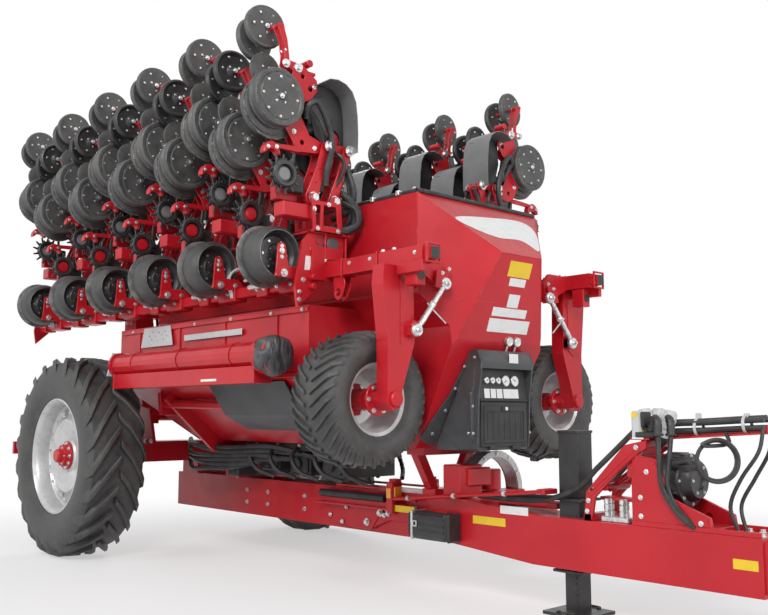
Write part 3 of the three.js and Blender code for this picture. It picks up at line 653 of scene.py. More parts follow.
def bolts_tree():
    """A bolt head on a washer at each point, along its "way" and as big as its "size"."""
    tree, source, result = new_tree("bolts",
        [("Head sides", "Int"), ("Washer sides", "Int"), ("Finish", "Material")])
    parts = tree.nodes.new("GeometryNodeJoinGeometry")
    for sides, radius, depth, up in (("Head sides", 1.0, 0.9, 0.75), ("Washer sides", 1.5, 0.3, 0.15)):
        disc = tree.nodes.new("GeometryNodeMeshCylinder")
        disc.inputs["Radius"].default_value = radius
        disc.inputs["Depth"].default_value = depth
        lift = tree.nodes.new("GeometryNodeTransform")
        lift.inputs["Translation"].default_value = (0, 0, up)
        join(tree, source, sides, disc, "Vertices")
        join(tree, disc, "Mesh", lift, "Geometry")
        join(tree, lift, "Geometry", parts, "Geometry")
    way = tree.nodes.new("GeometryNodeInputNamedAttribute")
    way.data_type = "FLOAT_VECTOR"
    way.inputs["Name"].default_value = "way"
    size = tree.nodes.new("GeometryNodeInputNamedAttribute")
    size.data_type = "FLOAT"
    size.inputs["Name"].default_value = "size"
    turn = tree.nodes.new("FunctionNodeAlignRotationToVector")
    turn.axis = "Z"
    copies = tree.nodes.new("GeometryNodeInstanceOnPoints")
    join(tree, way, "Attribute", turn, "Vector")
    join(tree, source, "Geometry", copies, "Points")
    join(tree, parts, "Geometry", copies, "Instance")
    join(tree, turn, "Rotation", copies, "Rotation")
    join(tree, size, "Attribute", copies, "Scale")
    return end_tree(tree, source, result, copies)


ROWS_TREE = rows_tree()
RING_TREE = ring_tree()
BOLTS_TREE = bolts_tree()


def grown(mesh, tree, **values):
    """The plain mesh that a tree makes from a mesh."""
    start = bpy.data.objects.new("start", mesh)
    bpy.context.scene.collection.objects.link(start)
    modifier = start.modifiers.new("copies", "NODES")
    modifier.node_group = tree
    for socket in tree.interface.items_tree:
        label = socket.name.replace(" ", "_")
        if label in values:
            modifier[socket.identifier] = values[label]
    graph = bpy.context.evaluated_depsgraph_get()
    made = bpy.data.meshes.new_from_object(start.evaluated_get(graph))
    start.modifiers.remove(modifier)
    bpy.data.objects.remove(start)
    smoothed(made, 35)
    return made


def in_rows(mesh, material, count=ROWS, step=-ROW_SPACING):
    return grown(mesh, ROWS_TREE, Count=count, Step=(step, 0, 0), Finish=material)


def in_a_ring(mesh, material, count, axis):
    return grown(mesh, RING_TREE, Count=count, Axis=axis, Finish=material)


class Bolts:
    """Where the bolts of one body are: place, way out and half the width of the head."""

    def __init__(self):
        self.spots = []

    def at(self, place, way, size=0.011):
        self.spots.append((Vector(place), Vector(way).normalized(), size))

    def ring(self, centre, way, radius, count, size=0.011, phase=0.0):
        """Bolts round a point on a face whose way out is along one of the axes."""
        turn = turned_to(way).to_3x3()
        for i in range(count):
            angle = 2 * math.pi * (i + phase) / count
            out = turn @ Vector((math.cos(angle), math.sin(angle), 0))
            self.at(Vector(centre) + radius * out, way, size)

    def repeated(self, count, step):
        """The same bolts again at each step along X."""
        first = list(self.spots)
        for i in range(1, count):
            self.spots += [(p + Vector((i * step, 0, 0)), w, s) for p, w, s in first]

    def mesh(self, side=1, material=None):
        cloud = bpy.data.meshes.new("spots")
        flip = Vector((1, side, 1))
        cloud.from_pydata([p * flip for p, _, _ in self.spots], [], [])
        ways = cloud.attributes.new("way", "FLOAT_VECTOR", "POINT")
        ways.data.foreach_set("vector", [c for _, w, _ in self.spots for c in w * flip])
        sizes = cloud.attributes.new("size", "FLOAT", "POINT")
        sizes.data.foreach_set("value", [s for _, _, s in self.spots])
        return grown(cloud, BOLTS_TREE, Head_sides=6, Washer_sides=10, Finish=material or ZINC)


# ---- row units ---------------------------------------------------------------------------
# A unit is drawn at station 0 and copied to its stations. The short units, between the long
# ones, are the same from the linkage up.
SHORT_DROP = 0.2
SHORT_BACK = 0.375
PRESS_X, PRESS_U, PRESS_Z = -0.135, 1.25, 3.43


def wheel_disc(centre, way, radius, width, dish, hub):
    """A flat-faced wheel with a groove near its rim; its face looks along way."""
    rim = radius * 0.82
    return turned([(0, width + hub), (0.022, width + hub), (0.03, width + hub * 0.4), (0.055, width),
        (rim - 0.012, width), (rim - 0.006, width - dish), (rim + 0.002, width - dish),
        (rim + 0.008, width), (radius - 0.006, width), (radius, width - 0.006), (radius, 0.006),
        (radius - 0.006, 0), (0, 0)], centre, way, 36)


def gauge_wheels():
    """The two depth wheels with the two thin opener discs between them."""
    drawn = Drawn()
    for x, z, way in ((0.03, GAUGE_Z, 1), (-0.065, GAUGE_Z - 0.035, -1)):
        spot = (x, GAUGE_U, z)
        drawn.add(wheel_disc(spot, (way, 0, 0), GAUGE_R, 0.045, 0.006, 0.016),
            turned([(0.1, 0), (GAUGE_R - 0.02, 0), (GAUGE_R - 0.012, -0.008), (GAUGE_R + 0.003, -0.018),
            (GAUGE_R + 0.003, -0.034), (GAUGE_R - 0.02, -0.046), (0.1, -0.046)], spot, (way, 0, 0), 36,
            closed=True))
    for x, lean in ((-0.045, 3), (-0.06, -3)):
        disc = turned([(0, 0.003), (0.205, 0.003), (0.215, 0), (0.205, -0.003), (0, -0.003)],
            (x, GAUGE_U - 0.015, GAUGE_Z - 0.035), AHEAD, 40)
        drawn.add(tilted(disc, (x, GAUGE_U, GAUGE_Z - 0.035), lean, "Z"))
    # the thin wheel that presses the seed in, above the openers
    drawn.add(
        turned([(0, 0.016), (0.02, 0.016), (0.024, 0.008), (0.11, 0.008), (0.121, 0.003), (0.121, -0.006),
        (0.11, -0.01), (0, -0.01)], (PRESS_X, PRESS_U, PRESS_Z), AHEAD, 32))
    return drawn


CLOSING = ((-0.135, 0.0, 7), (-0.262, -0.05, -7))  # station, drop and lean of each


def closing_wheels(dish=0.004):
    drawn = Drawn()
    for x, drop, lean in CLOSING:
        spot = (x, CLOSING_U, CLOSING_Z + drop)
        drawn.add(
            tilted(
            turned([(0, 0.03), (0.018, 0.03), (0.024, 0.022), (0.05, 0.024 - dish), (0.108, 0.024 - dish),
            (0.122, 0.024 - dish * 0.4), (0.129, 0.024), (CLOSING_R - 0.006, 0.02), (CLOSING_R, 0.01),
            (CLOSING_R, -0.014), (CLOSING_R - 0.012, -0.022), (0.1, -0.022), (0.04, -0.02 - dish * 0.5),
            (0, -0.02 - dish * 0.5)], spot, AHEAD, 36), spot, lean, "Z"))
    return drawn


def dished_closing_wheels():
    return closing_wheels(0.022)


STARS = ((0.062, 1.24, 2.69, 0.132, 4),)


def star_wheels():
    """The toothed residue wheels."""
    drawn = Drawn()
    for x, u, z, radius, lean in STARS:
        teeth = 13
        outline = []
        for i in range(teeth):
            for share, reach in ((0.0, 0.66), (0.28, 1.0), (0.46, 0.98), (0.5, 0.7)):
                angle = 2 * math.pi * (i + share) / teeth
                outline.append((u + radius * reach * math.cos(angle),
                    z + radius * reach * math.sin(angle)))
        wheel = plate("x", x - 0.005, x + 0.006, outline, edge=0.0015)
        drawn.add(tilted(wheel, (x, u, z), lean, "Z"),
            tilted(
            turned([(0.075, -0.012), (0.078, 0.012), (0.068, 0.02), (0.058, 0.012), (0.05, 0.012),
            (0.05, -0.012)], (x, u, z), AHEAD, 24, closed=True), (x, u, z), lean, "Z"),
            bar((x - 0.05, u, z), (x, u, z), 0.03, 12, 0.004))
        ring = turned([(0.055, 0.01), (0.084, 0.01), (0.088, 0.018), (0.088, 0.034), (0.08, 0.042),
            (0.062, 0.042), (0.055, 0.03)], (x, u, z), AHEAD, 26, closed=True)
        drawn.add(tilted(ring, (x, u, z), lean, "Z"))
        for i in range(13):
            angle = 2 * math.pi * (i + 0.4) / 13
            tip = Vector((x + 0.028, u + 0.1 * math.cos(angle), z + 0.1 * math.sin(angle)))
            foot = Vector((x + 0.02, u + 0.07 * math.cos(angle), z + 0.07 * math.sin(angle)))
            drawn.add(bar(foot, tip, 0.009, 5, 0, 0.005))
        for i in range(6):
            angle = math.pi * i / 3
            tip = Vector((0, math.cos(angle), math.sin(angle))) * 0.06
            drawn.add(bar((x + 0.004, u, z), Vector((x + 0.008, u, z)) + tip, 0.007, 6))
    return drawn


def long_foot():
    """The open head of a long unit, its straps round the tube and its parallel links."""
    drawn = Drawn()
    low = TUBE_TOP + 0.0006
    window = [(0.8, low + 0.05), (0.925, low + 0.05), (0.92, HEAD_Z - 0.045), (0.815, HEAD_Z - 0.045)]
    window_out = [(0.95, low + 0.05), (0.985, low + 0.05), (0.985, HEAD_Z - 0.05), (0.945, HEAD_Z - 0.05)]
    face = [(0.76, low), (1.005, low), (1.02, HEAD_Z - 0.02), (1.02, HEAD_Z + 0.02),
        (0.985, HEAD_Z + 0.032), (0.955, HEAD_Z - 0.02), (0.86, HEAD_Z - 0.025), (0.84, HEAD_Z + 0.025),
        (0.8, HEAD_Z + 0.03), (0.775, HEAD_Z)]
    for x in (-0.115, 0.075):
        drawn.add(plate("x", x, x + 0.012, face, (window, window_out), 0.002))
    drawn.add(block(-0.115, 0.087, 0.7, 1.02, low, low + 0.016, 0.003),
        block(-0.11, 0.08, 0.79, 1.0, HEAD_Z - 0.045, HEAD_Z - 0.032, 0.003))
    for x in (-0.095, 0.06):
        for u in (TUBE_U - TUBE / 2 - 0.012, TUBE_U + TUBE / 2 + 0.012):
            drawn.add(bar((x, u, TUBE_Z - TUBE / 2 - 0.02), (x, u, low + 0.02), 0.008, 8))
        drawn.add(block(x - 0.015, x + 0.015, TUBE_U - 0.105, TUBE_U + 0.105, TUBE_Z - TUBE / 2 - 0.016,
            TUBE_Z - TUBE / 2 - 0.002, 0.002))
    for u, wide in ((0.99, 0.043), (0.81, 0.034)):
        link(drawn, u, wide)
    drawn.add(block(-0.06, 0.05, 0.98, 1.22, 2.435, 2.53, 0.006))
    return drawn


def link(drawn, u, wide):
    """One link: a pair of slotted plates with round ends and the bushes of its pins."""
    lean = Vector((-0.13, LINK_RISE)).normalized()
    across = Vector((lean.y, -lean.x))
    start, end = Vector((u, HEAD_Z)), Vector((u - 0.13, HEAD_Z + LINK_RISE))
    waist = start.lerp(end, 0.55)
    outline = [start - lean * wide + across * wide * 0.5, start + across * wide * 1.15, waist
        + across * wide * 0.8, end + across * wide, end + lean * wide + across * wide * 0.4,
        end + lean * wide - across * wide * 0.4, end - across * wide, waist - across * wide * 0.8, start
        - across * wide * 1.15, start - lean * wide - across * wide * 0.5]
    for x in (-0.058, 0.03):
        drawn.add(plate("x", x, x + 0.012, [tuple(p) for p in outline],
            (circle(waist.x, waist.y, 0.009, 8), circle(*start.lerp(end, 0.3), 0.006, 8)), 0.002))
    drawn.add(bar((-0.05, waist.x, waist.y), (0.035, waist.x, waist.y), 0.017, 10))
    for spot in (start, end):
        drawn.add(bar((-0.085, *spot), (0.062, *spot), 0.02, 14, 0.003))


def short_foot():
    """The clamp of a short unit on the outer face of the tube, and its link.
    Drawn as high as a long unit, and lowered with the rest of the unit."""
    drawn = Drawn()
    face = TUBE_U + TUBE / 2 + 0.0006
    high = TUBE_TOP + SHORT_DROP
    for x in (-0.115, 0.052):
        drawn.add(
            plate("x", x, x + 0.014, [(face, high - 0.052), (1.0, high - 0.052), (1.01, high + 0.06),
            (0.93, high + 0.07), (face + 0.018, high + 0.035), (face + 0.018, high - 0.006),
            (face, high - 0.006)], (circle(0.955, high + 0.005, 0.022, 10),), 0.002))
    drawn.add(block(-0.115, 0.066, face, face + 0.014, high - 0.052, high - 0.008, 0.002),
        block(-0.11, 0.06, 0.93, 1.0, high - 0.05, high - 0.036, 0.002))
    link(drawn, 0.968, 0.034)
    return drawn


def opener_frame():
    """The red beam that carries the openers, the closing arm and the guard of the star wheel."""
    drawn = Drawn()
    top = HEAD_Z + LINK_RISE
    bracket = [(0.655, top - 0.02), (0.68, top - 0.042), (0.86, top - 0.045), (0.95, top - 0.055),
        (1.095, top - 0.07), (1.13, top), (1.175, top + 0.06), (1.3, GAUGE_Z - 0.06),
        (1.31, GAUGE_Z + 0.02), (1.24, GAUGE_Z + 0.05), (1.08, 3.15), (1.045, 3.1), (0.99, 3.01),
        (0.9, top + 0.035), (0.68, top + 0.042), (0.655, top + 0.02)]
    carrier = [(0.925, 3.33), (0.985, 3.25), (1.05, 3.22), (1.24, GAUGE_Z - 0.02), (1.31, GAUGE_Z + 0.04),
        (1.15, 3.34), (1.13, 3.42), (1.2, 3.45), (1.19, 3.485), (1.05, 3.48), (0.93, 3.4)]
    holes = (circle(0.985, 3.33, 0.02, 10), circle(1.05, 3.4, 0.017, 10))
    for x in (-0.052, 0.004):
        drawn.add(plate("x", x, x + 0.01, bracket, (circle(1.05, 2.95, 0.018, 10),), 0.002),
            plate("x", x, x + 0.01, carrier, holes, 0.002))
    drawn.add(block(-0.05, 0.01, 0.94, 1.12, 3.43, 3.45, 0.002),
        block(-0.05, 0.01, 0.68, 0.88, top - 0.01, top + 0.01, 0.002),
        bar((-0.07, 1.0, 3.5), (0.03, 1.0, 3.5), 0.025, 12, 0.003))
    arm = [(1.14, 3.445), (1.19, 3.45), (1.185, 3.52), (1.2, 3.62), (1.245, 3.7), (1.235, 3.73),
        (1.2, 3.73), (1.165, 3.63), (1.15, 3.53)]
    for x in (-0.06, -0.012):
        drawn.add(plate("x", x, x + 0.008, arm, (circle(1.178, 3.56, 0.01, 8),), 0.002))
    drawn.add(bar((-0.27, 1.225, 3.71), (0.0, 1.23, 3.715), 0.013, 10))
    for x, u, z, radius, lean in STARS:
        dome = [(u + 0.075 + 0.066 * math.cos(t), z + 0.125 + 0.085 * math.sin(t))
            for t in (math.pi * (1 - k / 8) for k in range(9))]
        hollow = [(u + 0.075 + 0.044 * math.cos(t), z + 0.125 + 0.03 * math.sin(t))
            for t in (math.pi * k / 6 for k in range(7))]
        drawn.add(plate("x", x - 0.06, x - 0.006, dome + hollow, edge=0.006),
            plate("x", x - 0.045, x - 0.025, [(u + 0.05, z + 0.175), (u + 0.04, z + 0.205), (1.1, 2.905),
            (1.085, 2.87)], edge=0.002), block(-0.09, -0.03, 1.05, 1.23, 2.55, 2.64, 0.006))
    return drawn


HOOD = [(0.665, 2.93), (0.662, 3.06), (0.668, 3.18), (0.682, 3.28), (0.715, 3.345), (0.77, 3.385),
    (0.84, 3.4), (0.91, 3.39), (0.965, 3.355)]
METER_U = 0.77  # middle of the metering disc
METER_FACE = -0.015  # front of the black housing, set back under the hood
HOOD_HALF = 0.13


def unit_hood():
    """The bent sheet over the seed meter."""
    return Drawn(sheet_along(HOOD, -HOOD_HALF, HOOD_HALF, 0.005))


def unit_meter():
    """The black housing set back under the hood, round its metering disc."""
    drawn = Drawn()
    side = [(0.672, 2.935), (0.8, 2.945), (0.92, 3.03), (0.965, 3.18), (0.955, 3.33), (0.91, 3.378),
        (0.84, 3.39), (0.77, 3.376), (0.72, 3.335), (0.692, 3.275), (0.68, 3.18)]
    for x in (-HOOD_HALF + 0.006, METER_FACE - 0.01):
        drawn.add(plate("x", x, x + 0.01, side, (circle(METER_U, 3.035, 0.062, 18),), 0.002))
        lip = x + (0.012 if x == METER_FACE - 0.01 else -0.002)
        drawn.add(hoop((lip, METER_U, 3.035), AHEAD, 0.066, 0.006, 20, 6))
        for u, z in ((0.81, 3.2), (0.86, 3.27)):
            drawn.add(plate("x", lip - 0.004, lip + 0.004, circle(u, z, 0.045, 12), edge=0.002))
    drawn.add(block(-0.11, METER_FACE - 0.02, 0.7, 0.92, 3.09, 3.33, 0.012),
        bar((-0.06, 0.9, 3.1), (-0.06, 1.05, 3.0), 0.035, 10, 0.004))
    # black housings between the star wheels and the head
    drawn.add(block(-0.1, -0.06, 1.05, 1.2, 2.65, 2.78, 0.01),
        block(-0.02, 0.03, 1.04, 1.16, 2.6, 2.72, 0.01))
    return drawn


def unit_rotor():
    """The red metering disc seen through the side openings."""
    drawn = Drawn()
    for x, way in ((-HOOD_HALF + 0.02, -1), (METER_FACE - 0.014, 1)):
        drawn.add(
            turned([(0, 0.008), (0.02, 0.008), (0.024, 0.002), (0.06, 0.002), (0.06, -0.003),
            (0, -0.003)], (x, METER_U, 3.035), (way, 0, 0), 20))
        for i in range(5):
            angle = 2 * math.pi * i / 5
            tip = Vector((0, math.cos(angle), math.sin(angle))) * 0.055
            drawn.add(bar((x, METER_U, 3.035), Vector((x, METER_U, 3.035)) + tip, 0.006, 6))
    return drawn


def unit_caps():
    drawn = Drawn()
    for x, u, z, radius, lean in STARS:
        drawn.add(
            tilted(turned([(0, 0.03), (0.04, 0.028), (0.052, 0.016), (0.052, 0.0), (0, 0)], (x, u, z),
            AHEAD, 20), (x, u, z), lean, "Z"))
    return drawn


def unit_hoses():
    """The seed and air hoses that come down from the hood."""
    return Drawn(
        tube([(0.02, 1.02, 3.12), (0.06, 1.035, 3.19), (0.08, 0.98, 3.225), (0.08, 0.915, 3.15),
        (0.08, 0.86, 3.03), (0.075, 0.85, 2.92), (0.07, 0.885, 2.79), (0.05, 0.88, 2.68)], 0.023, 10, 6,
        0.003), tube([(0.06, 1.0, 3.17), (0.085, 0.96, 3.1), (0.075, 0.91, 3.03), (0.05, 0.86, 3.0)],
        0.012, 6, 5),
        tube([(0.0, 0.8, 2.94), (0.06, 0.76, 2.9), (0.07, 0.735, 2.84), (0.05, 0.75, 2.76),
        (0.03, 0.78, 2.7)], 0.014, 8, 5),
        tube([(-0.06, 1.05, 2.7), (-0.02, 1.1, 2.8), (0.0, 1.08, 2.95), (-0.02, 1.0, 3.06)], 0.012, 6, 5))


def long_hoses():
    """The loops at the head of a long unit."""
    drawn = Drawn(
        tube([(0.04, 0.9, 2.385), (0.06, 0.8, 2.382), (0.09, 0.7, 2.39), (0.1, 0.664, 2.45),
        (0.1, 0.664, 2.53), (0.09, 0.7, 2.6), (0.06, 0.74, 2.64)], 0.026, 10, 6, 0.003),
        tube([(-0.05, 0.71, 2.46), (-0.03, 0.66, 2.43), (0.03, 0.645, 2.5), (0.05, 0.66, 2.62),
        (0.03, 0.68, 2.8), (0.0, 0.66, 2.92)], 0.018, 8, 6, 0.002))
    # the duct to the short unit behind
    drawn.add(bar((-0.315, 0.95, 2.37), (-0.12, 0.95, 2.37), 0.0195, 12, 0.002))
    return drawn


def opener_bolts(count):
    bolts = Bolts()
    front = 0.03 + 0.045
    bolts.ring((front, GAUGE_U, GAUGE_Z), AHEAD, 0.132, 8, 0.0062)
    bolts.ring((front, GAUGE_U, GAUGE_Z), AHEAD, 0.045, 4, 0.0062, 0.5)
    bolts.at((front + 0.014, GAUGE_U, GAUGE_Z), AHEAD, 0.012)
    bolts.ring((-0.11, GAUGE_U, GAUGE_Z - 0.035), BACK, 0.132, 8, 0.0055, 0.3)
    bolts.ring((PRESS_X + 0.008, PRESS_U, PRESS_Z), AHEAD, 0.034, 4, 0.0055, 0.5)
    for x, drop, lean in CLOSING:
        face = x + 0.02
        bolts.ring((face, CLOSING_U, CLOSING_Z + drop), AHEAD, 0.098, 6, 0.006)
        bolts.ring((face, CLOSING_U, CLOSING_Z + drop), AHEAD, 0.042, 3, 0.006, 0.2)
        bolts.at((face + 0.01, CLOSING_U, CLOSING_Z + drop), AHEAD, 0.012)
        bolts.ring((x - 0.022, CLOSING_U, CLOSING_Z + drop), BACK, 0.03, 4, 0.006)
    for u, z in ((0.86, HEAD_Z + LINK_RISE), (0.68, HEAD_Z + LINK_RISE)):
        bolts.at((0.06, u, z), AHEAD, 0.026)
        bolts.at((-0.08, u, z), BACK, 0.02)
    for u, z, size in ((1.19, 3.455, 0.02), (1.09, 3.45, 0.022), (0.955, 3.35, 0.011),
            (1.12, 3.01, 0.012), (0.95, 2.93, 0.011)):
        bolts.at((0.014, u, z), AHEAD, size)
    for x, u, z, radius, lean in STARS:
        bolts.ring((x + 0.02, u, z), AHEAD, 0.033, 4, 0.0045)
        bolts.at((x - 0.005, u + 0.045, z + 0.175), AHEAD, 0.01)
        bolts.at((x - 0.005, u + 0.11, z + 0.165), AHEAD, 0.009)
    bolts.repeated(count, -ROW_SPACING)
    return bolts


def long_foot_bolts():
    bolts = Bolts()
    for u in (0.99, 0.81):
        bolts.at((0.06, u, HEAD_Z), AHEAD, 0.026)
        bolts.at((-0.08, u, HEAD_Z), BACK, 0.02)
    for u, z in ((0.8, TUBE_TOP + 0.03), (0.97, TUBE_TOP + 0.03), (0.88, HEAD_Z - 0.035), (1.0, 2.5)):
        bolts.at((0.086, u, z), AHEAD, 0.011)
    for x in (-0.095, 0.06):
        for u in (TUBE_U - TUBE / 2 - 0.012, TUBE_U + TUBE / 2 + 0.012):
            bolts.at((x, u, TUBE_TOP + 0.018), UP, 0.011)
            bolts.at((x, u, TUBE_Z - TUBE / 2 - 0.016), DOWN, 0.011)
    bolts.repeated(ROWS, -ROW_SPACING)
    return bolts


def short_foot_bolts():
    bolts = Bolts()
    high = TUBE_TOP + SHORT_DROP
    bolts.at((0.058, 0.968, HEAD_Z), AHEAD, 0.019)
    bolts.at((-0.08, 0.968, HEAD_Z), BACK, 0.017)
    for x in (-0.08, 0.03):
        bolts.at((x, TUBE_U + TUBE / 2 + 0.015, high - 0.03), LEFT, 0.01)
    for u, z in ((0.92, high + 0.02), (0.985, high + 0.03), (0.985, high - 0.03)):
        bolts.at((0.066, u, z), AHEAD, 0.01)
    bolts.repeated(ROWS - 1, -ROW_SPACING)
    return bolts


# part name, how it is drawn, finish
OPENER_PARTS = (("beams", opener_frame, RED), ("gauge_wheels", gauge_wheels, DISC),
    ("star_wheels", star_wheels, BLACK), ("hoods", unit_hood, METER), ("meters", unit_meter, PLASTIC),
    ("rotors", unit_rotor, RED), ("seed_hoses", unit_hoses, HOSE),)
LONG_PARTS = (("heads", long_foot, RED), ("closing_wheels", closing_wheels, DISC),
    ("star_caps", unit_caps, METER), ("head_hoses", long_hoses, HOSE),)
# the short units' closing wheels take black paint, darker than the long units' disc steel: painted shade
# on the units that sit between and behind the long ones
SHORT_PARTS = (("clamps", short_foot, RED), ("closing_wheels", dished_closing_wheels, BLACK),
    ("star_caps", unit_caps, RED),)


def row_units():
    for name, side in SIDES:
        nodes = [f"{name}_row_unit_{i + 1}" for i in range(ROWS)]
        long_at = Matrix.Translation((ROW_FRONT, 0, 0))
        short_at = Matrix.Translation((ROW_FRONT - SHORT_BACK, 0, -SHORT_DROP))
        for kind, place, count, parts, foot_bolts in (("long", long_at, ROWS, OPENER_PARTS + LONG_PARTS,
                long_foot_bolts),
                ("short", short_at, ROWS - 1, OPENER_PARTS + SHORT_PARTS, short_foot_bolts)):
            for part, draw, material in parts:
                mesh = draw().mesh(side)
                mesh.transform(place)
                replaced = nodes if (kind, part) == ("long", "beams") else ()
                # the last row has no hose loops: with the wing out, the carrier stands in their place
                rows = count - 1 if part == "head_hoses" else count
                finished(f"{name}_{kind}_{part}", in_rows(mesh, material, rows), material, replaced,
                    body=f"{name}_wing")
            for part, bolts in (("opener", opener_bolts(count)), ("foot", foot_bolts())):
                mesh = bolts.mesh(side)
                mesh.transform(place)
                finished(f"{name}_{kind}_{part}_bolts", mesh, ZINC, body=f"{name}_wing")


# ---- coulter gangs -----------------------------------------------------------------------
COULTER_FACE = -0.035
COULTER_WIDE = 0.185


def coulter_wheels():
    """The wide tread of the wheels, open at the front; the face is at COULTER_FACE."""
    r = COULTER_R
    w = COULTER_WIDE
    return Drawn(
        turned([(0.138, -0.06), (0.152, -0.004), (0.158, 0.0), (0.166, -0.004), (0.172, -0.012),
        (r - 0.006, -0.03), (r, -0.055), (r, -w + 0.05), (r - 0.008, -w + 0.025), (0.168, -w), (0.15, -w),
        (0.14, -w + 0.04)], (COULTER_FACE, COULTER_U, COULTER_Z), AHEAD, 44, closed=True))


def coulter_dishes():
    """The dark dish of each wheel with its stiffening beads."""
    w = COULTER_WIDE
    return Drawn(
        turned([(0, -0.045), (0.03, -0.045), (0.034, -0.06), (0.06, -0.062), (0.068, -0.056),
        (0.076, -0.062), (0.118, -0.066), (0.128, -0.055), (0.141, -0.045), (0.141, -w + 0.045),
        (0, -w + 0.045)], (COULTER_FACE, COULTER_U, COULTER_Z), AHEAD, 40))


def coulter_lips():
    """A lighter steel ring round the lip of each dish as a painted highlight, and the thin cutting disc
    behind.
    """
    return Drawn(hoop((COULTER_FACE - 0.001, COULTER_U, COULTER_Z), AHEAD, 0.1555, 0.0022, 44, 6),
        turned([(0.02, 0.002), (0.2, 0.002), (0.208, 0), (0.2, -0.002), (0.02, -0.002)],
        (COULTER_FACE - COULTER_WIDE - 0.012, COULTER_U, COULTER_Z), AHEAD, 44, closed=True))


def coulter_arms():
    """Red plates in front of the wheels, with their clamps on the bar."""
    drawn = Drawn()
    face = COULTER_FACE + 0.004
    half = BAR / 2
    drawn.add(plate("x", face, face + 0.014, [(1.15, 2.255), (1.165, 2.27), (1.195, 2.27), (1.21, 2.255),
        (1.225, 2.05), (1.11, 2.05)], edge=0.002),
        plate("x", face + 0.003, face + 0.025, [(BAR_U - half, BAR_Z + half), (1.09, BAR_Z + half - 0.02),
        (1.235, BAR_Z + half - 0.015), (1.225, 2.09), (1.12, 2.12), (BAR_U + 0.02, 2.12)], edge=0.003))
    for x0, x1 in ((COULTER_FACE - 0.185, COULTER_FACE + 0.03), (-0.484, -0.36)):
        drawn.add(block(x0, x1, BAR_U - half - 0.016, BAR_U + half + 0.016, BAR_Z - half - 0.016, BAR_Z
            + half + 0.016, 0.006))
    for x in (COULTER_FACE - 0.15, COULTER_FACE - 0.08, -0.43):
        drawn.add(
            plate("x", x, x + 0.008, [(BAR_U - half, BAR_Z + half), (BAR_U + half, BAR_Z + half),
            (BAR_U + 0.02, BAR_Z + 0.13), (BAR_U - 0.01, BAR_Z + 0.13)], edge=0.0015))
    drawn.add(block(-0.3, -0.16, 1.05, 1.12, BAR_Z + 0.02, BAR_Z + 0.05, 0.004))
    return drawn


def coulter_bolts():
    bolts = Bolts()
    dish = COULTER_FACE - 0.068
    bolts.ring((dish, COULTER_U, COULTER_Z), AHEAD, 0.095, 6, 0.009)
    bolts.ring((dish, COULTER_U, COULTER_Z), AHEAD, 0.05, 4, 0.006, 0.5)
    for z, size in ((2.245, 0.009), (2.215, 0.013), (2.175, 0.009)):
        bolts.at((COULTER_FACE + 0.018, 1.18, z), AHEAD, size)
    bolts.at((COULTER_FACE + 0.03, 1.17, 2.07), AHEAD, 0.018)
    bolts.at((COULTER_FACE + 0.03, 1.05, 2.075), AHEAD, 0.012)
    for x in (-0.24, -0.09, -0.47, -0.39):
        bolts.at((x, 1.02, BAR_Z + 0.056), UP, 0.012)
        bolts.at((x, BAR_U + 0.056, BAR_Z + 0.0), LEFT, 0.011)
    bolts.repeated(ROWS, -ROW_SPACING)
    return bolts


def coulter_gangs():
    for name, side in SIDES:
        body = f"{name}_wing"
        at_front = Matrix.Translation((ROW_FRONT, 0, 0))
        wheels = coulter_wheels().mesh(side)
        wheels.transform(at_front)
        finished(f"{name}_coulter_wheels", in_rows(wheels, RUBBER), RUBBER, [f"{name}_coulter_gang"],
            body=body)
        # the lips' lighter steel ring stands for the highlight on each dish's lip: painted highlight
        for part, draw, material in (("dishes", coulter_dishes, BLACK), ("lips", coulter_lips, LIP_HIGHLIGHT_AND_DISC)):
            mesh = draw().mesh(side)
            mesh.transform(at_front)
            finished(f"{name}_coulter_{part}", in_rows(mesh, material), material, body=body)
        arms = coulter_arms().mesh(side)
        arms.transform(at_front)
        finished(f"{name}_coulter_arms", in_rows(arms, RED), RED, body=body)
        bolts = coulter_bolts().mesh(side)
        bolts.transform(at_front)
        finished(f"{name}_coulter_bolts", bolts, ZINC, body=body)
        bar_half = BAR / 2 - 0.004
        tubes = Drawn(block(WING_REAR + 0.003, TUBE_FRONT - 0.026, BAR_U - bar_half, BAR_U + bar_half,
            BAR_Z - bar_half, BAR_Z + bar_half, 0.008))
        finished(f"{name}_coulter_bar", tubes.mesh(side), RED, body=body)
        rods = Drawn()
        for i in range(ROWS - 1):
            x = ROW_FRONT - i * ROW_SPACING
            rods.add(bar((x - 0.62, 1.06, BAR_Z + 0.075), (x - 0.27, 1.06, BAR_Z + 0.075), 0.012, 8),
                bar((x - 0.55, 1.065, BAR_Z + 0.02), (x - 0.3, 1.065, BAR_Z + 0.02), 0.02, 10))
        finished(f"{name}_coulter_rods", rods.mesh(side), ZINC, body=body)
        loops = Drawn()
        for x, tall in ((2.02, 0.16), (2.0, 0.15), (-1.1, 0.17), (-1.13, 0.15), (-1.16, 0.13)):
            loops.add(
                tube([(x, 1.05, BAR_Z - 0.03), (x + 0.01, 1.09, BAR_Z + tall * 0.6),
                (x + 0.02, 1.06, BAR_Z + tall), (x + 0.03, 0.98, BAR_Z + tall + 0.03)], 0.009, 8, 6))
        finished(f"{name}_white_hoses", loops.mesh(side), PANEL, body=body)


# ---- wheels ------------------------------------------------------------------------------
LUG_COUNT = 22


